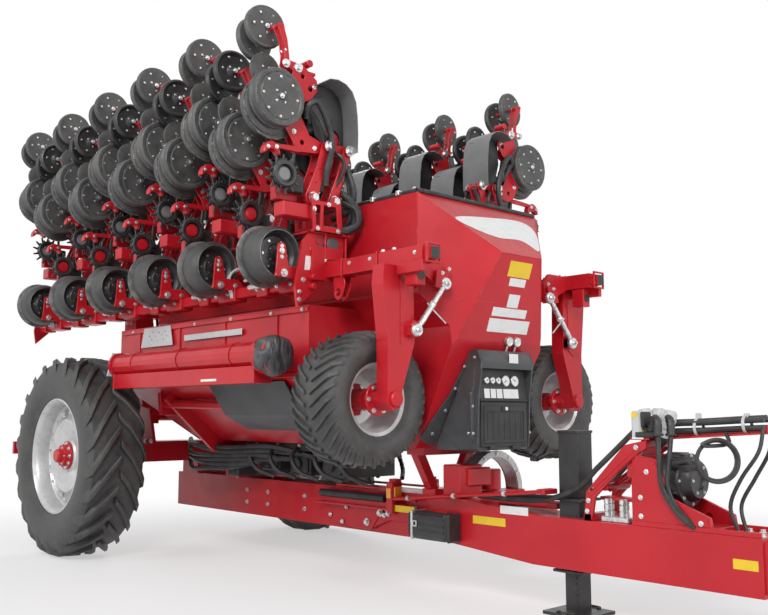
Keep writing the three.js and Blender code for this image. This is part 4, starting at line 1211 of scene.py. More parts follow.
def tyre_lug(side_sign):
    """One bar of the rear tyre's tread, drawn at the top of a wheel centred on the origin."""
    shape = bmesh.new()
    half = TYRE_W / 2
    stations = ((0.0, 0.0, 1.0), (0.35, 0.085, 1.0), (0.72, 0.2, 0.995), (0.93, 0.285, 0.965),
        (1.0, 0.33, 0.86))
    root = TYRE_R - 0.052
    sections = []
    for out, sweep, reach in stations:
        y = side_sign * (half * out * 0.985)
        angle = sweep / TYRE_R * 1.15
        wide = 0.026 + 0.012 * out
        tip = (TYRE_R - 0.001) * reach if out < 0.99 else TYRE_R - 0.11
        base = root - (0.0 if out < 0.7 else 0.05 if out < 0.95 else 0.15)
        ring = []
        for offset, radius in ((-wide * 1.4, base), (-wide, tip), (wide, tip), (wide * 1.4, base)):
            turn = angle + offset / TYRE_R
            ring.append(shape.verts.new((radius * math.sin(turn), y, radius * math.cos(turn))))
        sections.append(ring)
    skinned(shape, sections)
    edges = [e for e in shape.edges if e.calc_face_angle(0) > math.radians(40)]
    bmesh.ops.bevel(shape, geom=edges, offset=0.006, segments=1, affect="EDGES", clamp_overlap=True)
    return shape


def rear_tyre():
    """The carcass under the tread, with its sidewall rings."""
    half = TYRE_W / 2
    lip = RIM_R + 0.012
    tall = TYRE_R - lip
    profile = [(lip, half * 0.72), (lip + tall * 0.05, half * 0.85), (lip + tall * 0.09, half * 0.86),
        (lip + tall * 0.12, half * 0.89), (lip + tall * 0.16, half * 0.9),
        (lip + tall * 0.2, half * 0.94), (lip + tall * 0.34, half * 0.985), (lip + tall * 0.48, half),
        (lip + tall * 0.62, half * 0.985), (lip + tall * 0.74, half * 0.94),
        (lip + tall * 0.83, half * 0.86), (TYRE_R - 0.052, half * 0.7), (TYRE_R - 0.046, half * 0.35),
        (TYRE_R - 0.045, 0)]
    return [*profile, *[(r, -w) for r, w in profile[-2::-1]]]


def rear_wheels():
    for name, side in SIDES:
        centre = Vector((0, side * TRACK, TYRE_R))
        body = f"{name}_rear_wheel"
        carcass = Drawn(turned(rear_tyre(), centre, LEFT, 64, closed=True)).mesh()
        finished(f"{name}_tyre_carcass", carcass, RUBBER, [f"{name}_rear_tyre"], body=body)
        for half, sign in (("outer", 1), ("inner", -1)):
            lug = Drawn(tyre_lug(sign)).mesh(1, 30)
            tread = in_a_ring(lug, RUBBER, LUG_COUNT, LEFT)
            if sign < 0:
                tread.transform(Matrix.Rotation(math.pi / LUG_COUNT, 4, "Y"))
            tread.transform(Matrix.Translation(centre))
            finished(f"{name}_tyre_tread_{half}", tread, RUBBER, body=body)
        out = 0.2
        rim = turned([(0.0, 0.085), (0.12, 0.085), (0.135, 0.07), (0.3, 0.1), (0.33, 0.065), (0.4, 0.045),
            (0.425, 0.07), (0.428, out - 0.04), (0.445, out - 0.015), (0.462, out), (0.474, out - 0.004),
            (0.474, out - 0.02), (0.45, out - 0.03), (0.44, -out + 0.03), (0.474, -out + 0.02),
            (0.474, -out), (0.455, -out), (0.425, -out + 0.04), (0.42, 0.03), (0.4, 0.022), (0.33, 0.04),
            (0.3, 0.075), (0.12, 0.055), (0, 0.055)], centre, (0, side, 0), 56)
        rim = Drawn(rim)
        for i in range(8):
            angle = math.pi * (i + 0.5) / 4
            spot = centre + Vector((0.36 * math.cos(angle), side * 0.072, 0.36 * math.sin(angle)))
            rim.add(block(spot.x - 0.035, spot.x + 0.035, spot.y - 0.014, spot.y + 0.014, spot.z - 0.022,
                spot.z + 0.022, 0.006))
        finished(f"{name}_rim_shell", rim.mesh(), SILVER, [f"{name}_rear_rim"], body=body)
        hub = turned([(0, 0.19), (0.045, 0.19), (0.055, 0.18), (0.058, 0.15), (0.085, 0.145),
            (0.088, 0.115), (0.115, 0.11), (0.118, 0.09), (0.0, 0.088)], centre, (0, side, 0), 28)
        hub = Drawn(hub)
        back = turned([(0.09, -0.06), (0.1, -0.06), (0.1, 0.05), (0.09, 0.05)], centre, (0, side, 0), 28,
            True)
        finished(f"{name}_rear_hub", hub.add(back).mesh(), RED, body=body)
        bolts = Bolts()
        face = (0, TRACK + 0.11, TYRE_R)
        bolts.ring(face, LEFT, 0.1, 10, 0.012)
        bolts.ring((0, TRACK + 0.084, TYRE_R), LEFT, 0.36, 16, 0.011, 0.25)
        bolts.ring((0, TRACK + 0.145, TYRE_R), LEFT, 0.07, 6, 0.007)
        finished(f"{name}_rear_hub_bolts", bolts.mesh(side), ZINC, body=body)


def support_rib(sign):
    """One slanted rib of the flotation tyre's tread, at the top of a wheel that turns about X."""
    shape = bmesh.new()
    half = SUPPORT_W / 2
    sections = []
    for out, sweep, drop in ((0.12, 0.0, 0.0), (0.5, 0.03, 0.001), (0.8, 0.062, 0.012),
            (0.97, 0.085, 0.05)):
        ring = []
        angle = sweep / SUPPORT_R * 1.6
        for offset, rise in ((-0.016, -0.024), (-0.011, 0.0), (0.011, 0.0), (0.016, -0.024)):
            radius = SUPPORT_R - 0.001 - drop + rise
            turn = angle + offset / SUPPORT_R
            ring.append(
                shape.verts.new((sign * half * out, radius * math.sin(turn), radius * math.cos(turn))))
        sections.append(ring)
    return skinned(shape, sections)


def support_wheels():
    half = SUPPORT_W / 2
    for name, side in SIDES:
        centre = Vector((SUPPORT_X, side * SUPPORT_U, SUPPORT_Z))
        body = f"{name}_support_wheel"
        lip = SUPPORT_RIM_R + 0.008
        tall = SUPPORT_R - lip
        flank = [(lip, half * 0.74), (lip + tall * 0.06, half * 0.84), (lip + tall * 0.12, half * 0.86),
            (lip + tall * 0.18, half * 0.93), (lip + tall * 0.4, half * 0.99),
            (lip + tall * 0.6, half * 0.985), (lip + tall * 0.76, half * 0.93),
            (SUPPORT_R - 0.038, half * 0.83), (SUPPORT_R - 0.023, half * 0.6),
            (SUPPORT_R - 0.018, half * 0.3), (SUPPORT_R - 0.017, 0)]
        profile = [*flank, *[(r, -w) for r, w in flank[-2::-1]]]
        carcass = Drawn(turned(profile, centre, AHEAD, 56, closed=True)).mesh()
        finished(f"{name}_support_carcass", carcass, RUBBER, [f"{name}_support_tyre"], body=body)
        for part, sign in (("front", 1), ("back", -1)):
            rib = Drawn(support_rib(sign)).mesh()
            tread = in_a_ring(rib, RUBBER, 34, AHEAD)
            tread.transform(Matrix.Translation(centre))
            finished(f"{name}_support_tread_{part}", tread, RUBBER, body=body)
        # the dish lies towards the back, so the wheel is deep on the arm's side
        rim = turned([(0.035, -0.045), (0.075, -0.045), (0.15, -0.035), (0.175, -0.01), (0.188, 0.05),
            (0.19, 0.12), (0.202, 0.152), (0.222, 0.165), (0.228, 0.158), (0.212, 0.14), (0.2, 0.12),
            (0.2, -0.12), (0.228, -0.158), (0.222, -0.165), (0.19, -0.13), (0.182, -0.05), (0.165, -0.06),
            (0.075, -0.062), (0.035, -0.062)], centre, AHEAD, 44, closed=True)
        rim = Drawn(rim)
        finished(f"{name}_support_rim_shell", rim.mesh(), SILVER, [f"{name}_support_rim"], body=body)
        hub = turned([(0.038, 0.075), (0.06, 0.075), (0.066, 0.06), (0.066, -0.03), (0.1, -0.038),
            (0.1, -0.046), (0.038, -0.046)], centre, AHEAD, 24, closed=True)
        cap = turned([(0, -0.1), (0.04, -0.1), (0.05, -0.09), (0.05, -0.06), (0, -0.06)], centre, AHEAD,
            20)
        finished(f"{name}_support_hub", Drawn(hub, cap).mesh(), RED, body=body)
        bolts = Bolts()
        spot = (SUPPORT_X - 0.037, SUPPORT_U, SUPPORT_Z)
        bolts.ring(spot, AHEAD, 0.085, 6, 0.01)
        bolts.ring((SUPPORT_X - 0.064, SUPPORT_U, SUPPORT_Z), BACK, 0.075, 6, 0.01)
        finished(f"{name}_support_hub_bolts", bolts.mesh(side), ZINC, body=body)


# ---- toolbars, front beams and support arms ----------------------------------------------
def toolbar_trims():
    front = TUBE_FRONT + 0.0006
    for name, side in SIDES:
        body = f"{name}_wing"
        cap = Drawn(turned([(0, 0.012), (0.045, 0.012), (0.05, 0.008), (0.05, 0), (0, 0)],
            (front, 0.82, 2.285), AHEAD, 28),
            turned([(0.026, 0.006), (0.03, 0.006), (0.03, 0), (0.026, 0)], (front, 0.925, 2.3), AHEAD, 16,
            closed=True))
        for z in (2.265, 2.21):
            cap.add(bar((front, 0.925, z), (front + 0.003, 0.925, z), 0.017, 14))
        finished(f"{name}_end_plate_cap", cap.mesh(side), ANTHRACITE, body=body)
        sticker = plate("x", front, front + 0.001,
            [(1.005, 2.1), (1.05, 2.095), (1.04, 2.19), (0.995, 2.19)], edge=0)
        finished(f"{name}_end_plate_label", Drawn(sticker).mesh(side), WHITE, body=body)
        ribs = Drawn(block(front - 0.02, front + 0.035, 0.73, 1.02, 2.346, 2.358, 0.003))
        for z in (1.99, 2.05):
            ribs.add(bar((front, 1.0, z), (front + 0.05, 1.0, z), 0.02, 12, 0.003))
        finished(f"{name}_end_plate_ribs", ribs.mesh(side), RED, body=body)
        lines = Drawn()
        top = TUBE_TOP + 0.02
        for u, radius in ((0.745, 0.02), (0.79, 0.016), (0.825, 0.014)):
            lines.add(
                tube([(WING_REAR + 0.1, u, top), (0.4, u + 0.01, top + 0.004), (1.9, u - 0.005, top),
                (2.55, u, top + 0.01), (2.8, u - 0.03, top + 0.05)], radius, 8, 8))
        lines.add(
            tube([(2.78, 0.8, 2.392), (2.88, 0.72, 2.392), (2.925, 0.662, 2.44), (2.92, 0.662, 2.53),
            (2.86, 0.7, 2.585), (2.78, 0.72, 2.6)], 0.03, 10, 6, 0.003),
            tube([(2.7, 0.7, 2.5), (2.83, 0.66, 2.55), (2.88, 0.66, 2.66), (2.85, 0.68, 2.8)], 0.024, 10,
            6, 0.002))
        for x in (-0.9, 0.4, 1.6, 2.3):
            lines.add(
                tube([(x, 0.72, 2.34), (x + 0.1, 0.69, 2.29), (x + 0.22, 0.69, 2.27),
                (x + 0.34, 0.715, 2.33)], 0.012, 6, 6))
        finished(f"{name}_toolbar_hoses", lines.mesh(side), HOSE, body=body)
        bolts = Bolts()
        for u, z in ((0.76, 2.2), (0.905, 2.21), (0.99, 2.245), (1.06, 2.03), (1.09, 1.95), (1.09, 1.9)):
            bolts.at((front, u, z), AHEAD, 0.011)
        for x in (2.6, 1.85, 1.1, 0.35, -0.4, -1.15):
            bolts.at((x, TUBE_U, TUBE_Z - TUBE / 2 - 0.0008), DOWN, 0.013)
        finished(f"{name}_toolbar_bolts", bolts.mesh(side), ZINC, body=body)


def front_beam_trims():
    for name, side in SIDES:
        body = f"{name}_wing"
        collars = Drawn()
        for x, wide in ((3.02, 0.012), (3.36, 0.012), (3.795, 0.014)):
            collars.add(plate("x", x, x + wide, [(0.77, 2.05), (0.89, 2.05), (0.89, 2.17), (0.77, 2.17)],
                ([(0.782, 2.062), (0.878, 2.062), (0.878, 2.158), (0.782, 2.158)],), 0.002))
        # lug hanging from the beam, with its hole
        lug = [(2.915, 2.062), (3.02, 2.062), (3.035, 2.0), (3.0, 1.92), (2.96, 1.9), (2.925, 1.93)]
        for u in (0.8, 0.85):
            collars.add(plate("y", u, u + 0.012, lug, (circle(2.965, 1.955, 0.026, 12),), 0.002))
        collars.add(bar((2.965, 0.79, 1.955), (2.965, 0.872, 1.955), 0.012, 10))
        # stay bracket and its gussets
        collars.add(plate("x", 3.6, 3.612, [(0.5, 2.05), (0.6, 2.06), (0.62, 1.95), (0.53, 1.93)],
            edge=0.002), block(3.56, 3.78, 0.865, 0.9, 2.0, 2.07, 0.004),
            block(3.6, 3.7, 0.79, 0.87, 1.93, 2.06, 0.006))
        finished(f"{name}_front_beam_collars", collars.mesh(side), RED, body=body)
        # a thin black sheet in the open end of the beam and a black disc on the bracket's face: painted
        # shade in their hollows
        dark = Drawn(block(3.8203, 3.8212, 0.795, 0.865, 2.075, 2.145, 0),
            bar((3.7, 0.83, 1.99), (3.703, 0.83, 1.99), 0.03, 14))
        finished(f"{name}_front_beam_hollow", dark.mesh(side), PLASTIC, body=body)
        # screwed stay with ball ends and a thin lever
        start = Vector((3.605, 0.525, 1.975))
        end = Vector((3.605, 0.775, 1.672))
        way = (end - start).normalized()
        stay = Drawn(bar(start + way * 0.05, end - way * 0.05, 0.018, 16),
            bar(start + way * 0.03, start + way * 0.1, 0.013, 12, 0, 0.02),
            bar(end - way * 0.1, end - way * 0.03, 0.02, 12, 0, 0.013),
            bar(start.lerp(end, 0.42), start.lerp(end, 0.5), 0.023, 6, 0.003))
        for spot in (start, end):
            stay.add(
                turned([(0.016, -0.018), (0.034, -0.018), (0.04, -0.01), (0.042, 0), (0.04, 0.01),
                (0.034, 0.018), (0.016, 0.018)], spot, AHEAD, 24, closed=True),
                turned([(0, 0.026), (0.012, 0.026), (0.022, 0.014), (0.024, 0), (0.022, -0.014),
                (0.012, -0.026), (0, -0.026)], spot, AHEAD, 18))
        lever = start.lerp(end, 0.52)
        stay.add(bar(lever, lever + Vector((0.01, -0.12, -0.09)), 0.005, 8),
            bar(lever, lever + Vector((0.0, 0.03, 0.025)), 0.005, 8))
        finished(f"{name}_stay", stay.mesh(side), ZINC, [f"{name}_turnbuckle"], body=body)
        arm = Drawn()
        face = 3.551
        arm.add(plate("x", face, face + 0.004, [(0.8, 1.98), (0.86, 1.98), (0.86, 1.58), (0.8, 1.62)],
            edge=0.001),
            plate("x", face - 0.02, face + 0.055,
            [(0.75, 1.63), (0.8, 1.63), (0.815, 1.7), (0.8, 1.73), (0.75, 1.72)], edge=0.004),
            bar((3.33, SUPPORT_U, SUPPORT_Z), (3.46, SUPPORT_U, SUPPORT_Z), 0.055, 16, 0.006),
            bar((3.45, SUPPORT_U, SUPPORT_Z), (3.575, SUPPORT_U, SUPPORT_Z), 0.048, 16, 0.008),
            plate("x", 3.38, 3.4, circle(SUPPORT_U, SUPPORT_Z, 0.1, 20), (), 0.003))
        finished(f"{name}_support_arm_plates", arm.mesh(side), RED, body=body)
        bolts = Bolts()
        bolts.ring((3.4, SUPPORT_U, SUPPORT_Z), AHEAD, 0.078, 6, 0.011)
        for u, z in ((0.5, 2.07), (0.56, 2.04)):
            bolts.at((3.613, u, z), AHEAD, 0.009)
        for x, u in ((3.4, 0.8), (3.4, 0.86), (3.5, 0.8), (3.5, 0.86)):
            bolts.at((x, u, 2.163), UP, 0.012)
        bolts.at((3.634, 0.525, 1.975), AHEAD, 0.011)
        bolts.at((3.634, 0.775, 1.672), AHEAD, 0.011)
        for x, z in ((3.1, 2.13), (3.3, 2.13), (3.7, 2.12)):
            bolts.at((x, 0.8808, z), LEFT, 0.009)
        finished(f"{name}_support_bolts", bolts.mesh(side), ZINC, body=body)


# ---- hopper ------------------------------------------------------------------------------
def nose_spot(z, y, out=0.0):
    """A place on the leaning front panel of the hopper, and out from it."""
    x = 3.6 + 0.19 * (z - 1.64) / 0.55
    return Vector((x, y, z)) + Vector((0.945, 0, -0.3265)) * out


def brow_spot(down, across, out=0.0):
    """A place on the slope above it: down 0..1 from the top, across -1..1."""
    half = 0.6 - 0.4 * down
    x, z = 3.43 + 0.36 * down, TANK_TOP - 0.39 * down
    return Vector((x, across * half, z)) + Vector((0.735, 0, 0.678)) * out


def film_on(spot, outline):
    """A thin closed sheet whose corners are spot(a, b, out)."""
    shape = bmesh.new()
    under, over = ([shape.verts.new(spot(a, b, out)) for a, b in outline] for out in (SKIN, SKIN * 2.2))
    return skinned(shape, (under, over))


def rounded(outline, steps=6):
    """A closed outline with a smooth line through its points."""
    points = [Vector(p) for p in outline]
    path = []
    for i in range(len(points)):
        path += stretch_of_path(*(points[(i + k - 1) % len(points)] for k in range(4)), steps)
    return [tuple(p) for p in path]


def hopper_labels():
    leaf = rounded([(0.42, -0.94), (0.26, -0.05), (0.19, 0.66), (0.4, 0.95), (0.83, 0.96), (0.66, 0.42),
        (0.69, -0.27), (0.6, -0.76)])
    white = Drawn(film_on(brow_spot, leaf))
    for z0, z1, y0, y1 in ((1.995, 2.045, -0.06, 0.1), (1.862, 1.945, -0.03, 0.08),
            (1.8, 1.855, -0.155, 0.185), (1.7, 1.785, -0.165, 0.24)):
        white.add(film_on(nose_spot, [(z0, y0), (z0, y1), (z1, y1), (z1, y0)]))
    white.add(plate("x", 3.6612, 3.6622, [(0.01, 1.5), (0.1, 1.5), (0.1, 1.56), (0.01, 1.56)], edge=0))
    finished("hopper_white_labels", white.mesh(), WHITE)
    yellow = Drawn(film_on(nose_spot, [(2.052, -0.095), (2.052, 0.125), (2.15, 0.125), (2.15, -0.095)]))
    finished("hopper_yellow_label", yellow.mesh(), YELLOW)


def hopper_edges():
    """Folded seams of the hopper's sheets, its rubber rim and the strip above the console."""
    seams = Drawn()
    lines = [(brow_spot(0, -1), brow_spot(1, -1)), (brow_spot(0, 1), brow_spot(1, 1)),
        (brow_spot(1, -1), brow_spot(1, 1))]
    for s in (-1, 1):
        lines += [((3.79, s * 0.2, 2.19), (3.61, s * 0.405, 1.67)),
            ((3.43, s * 0.6, TANK_TOP), (3.44, s * 0.6, 1.92)),
            ((0.2, s * TANK_HALF, 1.965), (3.42, s * TANK_HALF * 0.985, 1.965)),
            ((0.2, s * TANK_HALF, 2.36), (2.5, s * TANK_HALF, 2.36))]
    for start, end in lines:
        seams.add(bar(start, end, 0.0035, 6))
    for s in (-1, 1):
        seams.add(block(0.2, 2.8, s * 0.972, s * 0.985, 1.835, 1.87, 0.004),
            block(0.3, 2.795, s * 0.972, s * 0.984, 1.41, 1.44, 0.004))
        for x in (0.5, 1.15, 1.8, 2.45):
            seams.add(block(x, x + 0.012, s * 0.972, s * 0.982, 1.44, 1.84, 0.003))
    finished("hopper_seams", seams.mesh(), RED)
    rim = Drawn()
    corners = [(0.17, -0.6), (3.42, -0.59), (3.43, -0.55), (3.425, 0.55), (3.42, 0.59), (0.17, 0.6),
        (0.17, -0.6)]
    for (x0, y0), (x1, y1) in zip(corners, corners[1:]):
        rim.add(bar((x0, y0, TANK_TOP + 0.014), (x1, y1, TANK_TOP + 0.014), 0.016, 8))
    for (x0, x1) in ((0.33, 1.74), (1.9, 3.27)):
        for y in (-0.44, 0.44):
            rim.add(bar((x0, y, TANK_TOP + 0.012), (x1, y, TANK_TOP + 0.012), 0.013, 8))
    finished("hopper_rim", rim.mesh(), HOSE)
    clamps = Drawn()
    for x in (0.7, 1.5, 2.3, 3.0, 3.25):
        for y in (-0.6, 0.6):
            clamps.add(block(x, x + 0.03, y - 0.02, y + 0.02, TANK_TOP + 0.001, TANK_TOP + 0.034, 0.003))
    for y in (-0.585, 0.585):
        clamps.add(bar((3.36, y, TANK_TOP + 0.01), (3.4, y, TANK_TOP + 0.035), 0.012, 8))
    finished("hopper_rim_clamps", clamps.mesh(), ZINC)
    skirts = Drawn()
    for s in (-1, 1):
        low = [(s * 0.26, 0.96), (s * 0.395, 1.0), (s * 0.42, 1.03), (s * 0.3, 1.3), (s * 0.26, 1.52)]
        shape = bmesh.new()
        rings = [[shape.verts.new(lower_spot(z, y, out)) for y, z in low] for out in (0.004, 0.012)]
        skirts.add(skinned(shape, rings))
    finished("hopper_skirts", skirts.mesh(), ANTHRACITE)


def lower_spot(z, y, out=0.0):
    """A place on the hopper's wall behind the console."""
    x = 3.25 + 0.35 * (z - 1.0) / 0.64
    return Vector((x, y, z)) + Vector((0.877, 0, -0.48)) * out


def hopper_bolts():
    bolts = Bolts()
    for s in (-1, 1):
        for z, y in ((1.05, 0.33), (1.2, 0.29), (1.34, 0.275), (1.48, 0.27)):
            bolts.at(lower_spot(z, s * y, 0.0125), (0.877, 0, -0.48), 0.009)
        for x in (0.4, 0.9, 1.4, 1.9, 2.4, 2.75):
            bolts.at((x, s * 0.9855, 1.852), (0, s, 0), 0.009)
            bolts.at((x, s * 0.9845, 1.425), (0, s, 0), 0.009)
        for x, z in ((2.9, 2.46), (2.4, 2.46), (1.5, 2.46), (0.6, 2.46)):
            bolts.at((x, s * 0.6205, z), (0, s, 0), 0.009)
    finished("hopper_bolts", bolts.mesh(), ZINC)


def lids():
    """Grips and catches of the two lids."""
    for name, back, front in (("rear_lid", 0.33, 1.73), ("front_lid", 1.9, 3.26)):
        drawn = Drawn()
        top = TANK_TOP + 0.0403
        for y in (-0.25, 0.25):
            drawn.add(
                tube([(front - 0.09, y - 0.07, top), (front - 0.09, y - 0.06, top + 0.035),
                (front - 0.09, y + 0.06, top + 0.035), (front - 0.09, y + 0.07, top)], 0.008, 8, 5))
        for x in (back + 0.12, (back + front) / 2, front - 0.16):
            drawn.add(block(x, x + 0.04, -0.36, 0.36, top, top + 0.012, 0.004))
        drawn.add(block(back + 0.08, front - 0.05, -0.37, -0.35, top, top + 0.01, 0.003),
            block(back + 0.08, front - 0.05, 0.35, 0.37, top, top + 0.01, 0.003))
        finished(f"{name}_ribs", drawn.mesh(), BLACK, body=name)


# ---- console -----------------------------------------------------------------------------
def console_trims():
    hood = Drawn()
    roof = [(3.55, 1.578), (3.63, 1.578), (3.662, 1.502), (3.655, 1.46), (3.648, 1.46), (3.653, 1.5),
        (3.625, 1.572), (3.55, 1.572)]
    hood.add(plate("y", -0.262, 0.262, roof, edge=0.0015))
    for s in (-1, 1):
        cheek = [(3.53, 1.578), (3.63, 1.578), (3.662, 1.502), (3.655, 1.44), (3.632, 1.28),
            (3.615, 0.95), (3.46, 0.95), (3.4, 1.0), (3.44, 1.3)]
        hood.add(plate("y", s * 0.247, s * 0.258, cheek, edge=0.0015))
        flange = [(s * 0.25, 0.98), (s * 0.29, 1.02), (s * 0.295, 1.28), (s * 0.265, 1.36),
            (s * 0.258, 1.5)]
        hood.add(plate("x", 3.592, 3.598, flange, edge=0.001))
    finished("console_hood", hood.mesh(), ANTHRACITE)
    back = Drawn(
        plate("y", -0.235, 0.235, [(3.6105, 1.265), (3.618, 1.265), (3.598, 1.47), (3.5905, 1.47)],
        edge=0.001), block(3.606, 3.628, -0.235, 0.235, 1.252, 1.268, 0.003))
    finished("console_panel", back.mesh(), PLASTIC)
    rims = Drawn()
    faces = Drawn()
    lean = Vector((0.995, 0, 0.1))
    for y, radius in ((-0.165, 0.022), (-0.107, 0.022), (-0.052, 0.022), (0.022, 0.036), (0.112, 0.036)):
        spot = (3.612, y, 1.385)
        rims.add(
            turned([(radius - 0.004, 0.006), (radius - 0.002, 0.012), (radius, 0.01), (radius, -0.004),
            (radius - 0.004, -0.004)], spot, lean, 20, closed=True))
        faces.add(turned([(0, 0.0085), (radius - 0.003, 0.0085), (radius - 0.003, 0.0), (0, 0.0)], spot,
            lean, 20))
    for y in (0.065, 0.145):
        spot = nose_spot(1.65, y)
        rims.add(turned([(0.026, 0.018), (0.029, 0.026), (0.032, 0.022), (0.032, 0), (0.026, 0)], spot,
            (0.945, 0, -0.3265), 20, closed=True))
        faces.add(turned([(0, 0.021), (0.028, 0.021), (0.028, 0), (0, 0)], spot, (0.945, 0, -0.3265), 20))
        rims.add(bar(nose_spot(1.62, y, 0.008), nose_spot(1.585, y, 0.008), 0.007, 8))
    finished("gauge_rims", rims.mesh(), ZINC)
    for y0, y1 in ((-0.187, -0.135), (-0.125, -0.075), (-0.066, -0.012), (0.0, 0.15)):
        faces.add(plate("y", y0, y1, [(3.6195, 1.272), (3.6207, 1.272), (3.6148, 1.332), (3.6135, 1.332)],
            edge=0))
    finished("gauge_faces", faces.mesh(), WHITE)
    hands = Drawn()
    for y, radius, turn in ((-0.165, 0.022, 30), (-0.107, 0.022, 200), (-0.052, 0.022, 120),
            (0.022, 0.036, 215), (0.112, 0.036, 145)):
        tip = Vector((0, math.cos(math.radians(turn)), math.sin(math.radians(turn)))) * radius * 0.75
        spot = Vector((3.6215, y, 1.386))
        hands.add(bar(spot, spot + tip, 0.0014, 5),
            bar(spot - lean * 0.002, spot + lean * 0.002, 0.004, 8))
    finished("gauge_hands", hands.mesh(), PLASTIC)
    bolts = Bolts()
    for s in (-1, 1):
        for z in (1.05, 1.22):
            bolts.at((3.5985, s * 0.279, z), AHEAD, 0.007)
        for x, z in ((3.6, 1.53), (3.57, 1.3), (3.54, 1.05)):
            bolts.at((x, s * 0.2585, z), (0, s, 0), 0.007)
    finished("console_bolts", bolts.mesh(), ZINC)


def tool_box():
    """The moulded door of the tool box: a raised panel, a rim, its latch and hinges."""
    x = 3.6103
    door = Drawn(block(x, x + 0.016, -0.224, 0.224, 0.961, 1.249, 0.006),
        plate("x", x + 0.01, x + 0.022,
        [(-0.205, 0.985), (0.205, 0.985), (0.205, 1.225), (-0.205, 1.225)],
        ([(-0.185, 1.005), (0.185, 1.005), (0.185, 1.185), (-0.185, 1.185)],), 0.003))
    for y in (-0.165, -0.11, -0.055, 0.0, 0.055, 0.11, 0.165):
        door.add(block(x + 0.01, x + 0.019, y - 0.006, y + 0.006, 1.012, 1.178, 0.002))
    for s in (-1, 1):
        door.add(bar((x + 0.011, s * 0.07, 0.952), (x + 0.011, s * 0.15, 0.952), 0.0088, 12),
            block(x + 0.004, x + 0.018, s * 0.075, s * 0.145, 0.953, 0.975, 0.002))
    door.add(block(x + 0.015, x + 0.03, -0.035, 0.035, 1.188, 1.222, 0.004))
    finished("tool_box_front", door.mesh(), PLASTIC, ["tool_box_door"], body="tool_box_door")
    latch = Drawn(bar((x + 0.03, 0, 1.205), (x + 0.034, 0, 1.205), 0.013, 16, 0.001))
    finished("tool_box_latch", latch.mesh(), ZINC, body="tool_box_door")


# ---- right side --------------------------------------------------------------------------
def auger_trims():
    cover = Drawn(
        turned([(0, 0.142), (0.05, 0.145), (0.095, 0.138), (0.122, 0.12), (0.134, 0.08), (0.131, 0.03),
        (0.122, 0.0), (0.1, -0.02), (0.098, -0.028), (0.0, -0.028)], (2.645, -1.18, 1.545), AHEAD, 28))
    random.seed(7)
    for vert in cover.whole.verts:
        out = Vector((0, vert.co.y + 1.18, vert.co.z - 1.545))
        turn = math.atan2(out.z, out.y)
        fold = 0.006 * math.sin(turn * 5 + vert.co.x * 22) + 0.004 * math.sin(turn * 9 - 1)
        vert.co += out.normalized() * fold if out.length > 0.04 else Vector(
            (random.uniform(-1, 1) * 0.003, 0, 0))
    finished("auger_cap_cover", cover.mesh(1, 80), CRINKLED)
    steel = Drawn()
    for x in (0.57, 2.59):
        steel.add(turned([(0.0855, -0.015), (0.1, -0.015), (0.1, 0.015), (0.0855, 0.015)],
            (x, -1.18, 1.56), AHEAD, 32, closed=True))
    for x in (0.9, 1.6, 2.3):
        steel.add(turned([(0.0855, -0.01), (0.09, -0.01), (0.09, 0.01), (0.0855, 0.01)], (x, -1.18, 1.56),
            AHEAD, 32, closed=True))
    steel.add(tube([(0.6, -1.09, 1.49), (1.5, -1.1, 1.485), (2.55, -1.09, 1.49)], 0.012, 8, 6),
        plate("x", 0.61, 0.622, [(-1.26, 1.365), (-1.11, 1.365), (-1.09, 1.49), (-1.26, 1.49)],
        edge=0.003))
    # red cross tube below the flap and the hopper's edge rail above the auger
    steel.add(bar((0.75, -0.86, 1.25), (2.6, -0.8, 1.22), 0.035, 16, 0.004),
        plate("x", 0.72, 0.76, [(-0.9, 1.16), (-0.74, 1.16), (-0.8, 1.34), (-0.92, 1.34)], edge=0.003),
        plate("x", 2.58, 2.62, [(-0.86, 1.14), (-0.66, 1.14), (-0.76, 1.34), (-0.9, 1.34)], edge=0.003))
    finished("auger_collars", steel.mesh(), RED)
    pale = Drawn()
    holes = [circle(x, z, 0.007, 6) for x, z in ((0.7, 1.8), (0.75, 1.83), (0.8, 1.795), (0.85, 1.82),
        (0.9, 1.8), (0.95, 1.825), (0.73, 1.77), (0.82, 1.76), (0.92, 1.765), (0.98, 1.79))]
    pale.add(plate("y", -0.992, -0.986, [(0.55, 1.71), (1.07, 1.71), (1.03, 1.868), (0.6, 1.868)], holes,
        0.001), block(1.25, 2.05, -0.992, -0.986, 1.73, 1.775, 0.002),
        plate("x", 0.535, 0.545, [(-1.28, 1.47), (-0.99, 1.47), (-0.98, 1.66), (-1.24, 1.66)],
        edge=0.003))
    finished("right_pale_plates", pale.mesh(), PANEL)
    flap = Drawn(
        plate("x", 1.6, 2.55, [(-0.975, 1.39), (-0.985, 1.39), (-0.83, 1.16), (-0.62, 1.05), (-0.6, 1.06),
        (-0.81, 1.175)], edge=0.002))
    finished("right_grey_flap", flap.mesh(), ANTHRACITE)
    mark = Drawn(block(1.95, 2.15, -1.2565, -1.2555, 1.392, 1.408, 0),
        block(2.9, 2.93, -0.7, -0.699, 1.6, 1.7, 0))
    finished("right_white_marks", mark.mesh(), WHITE)


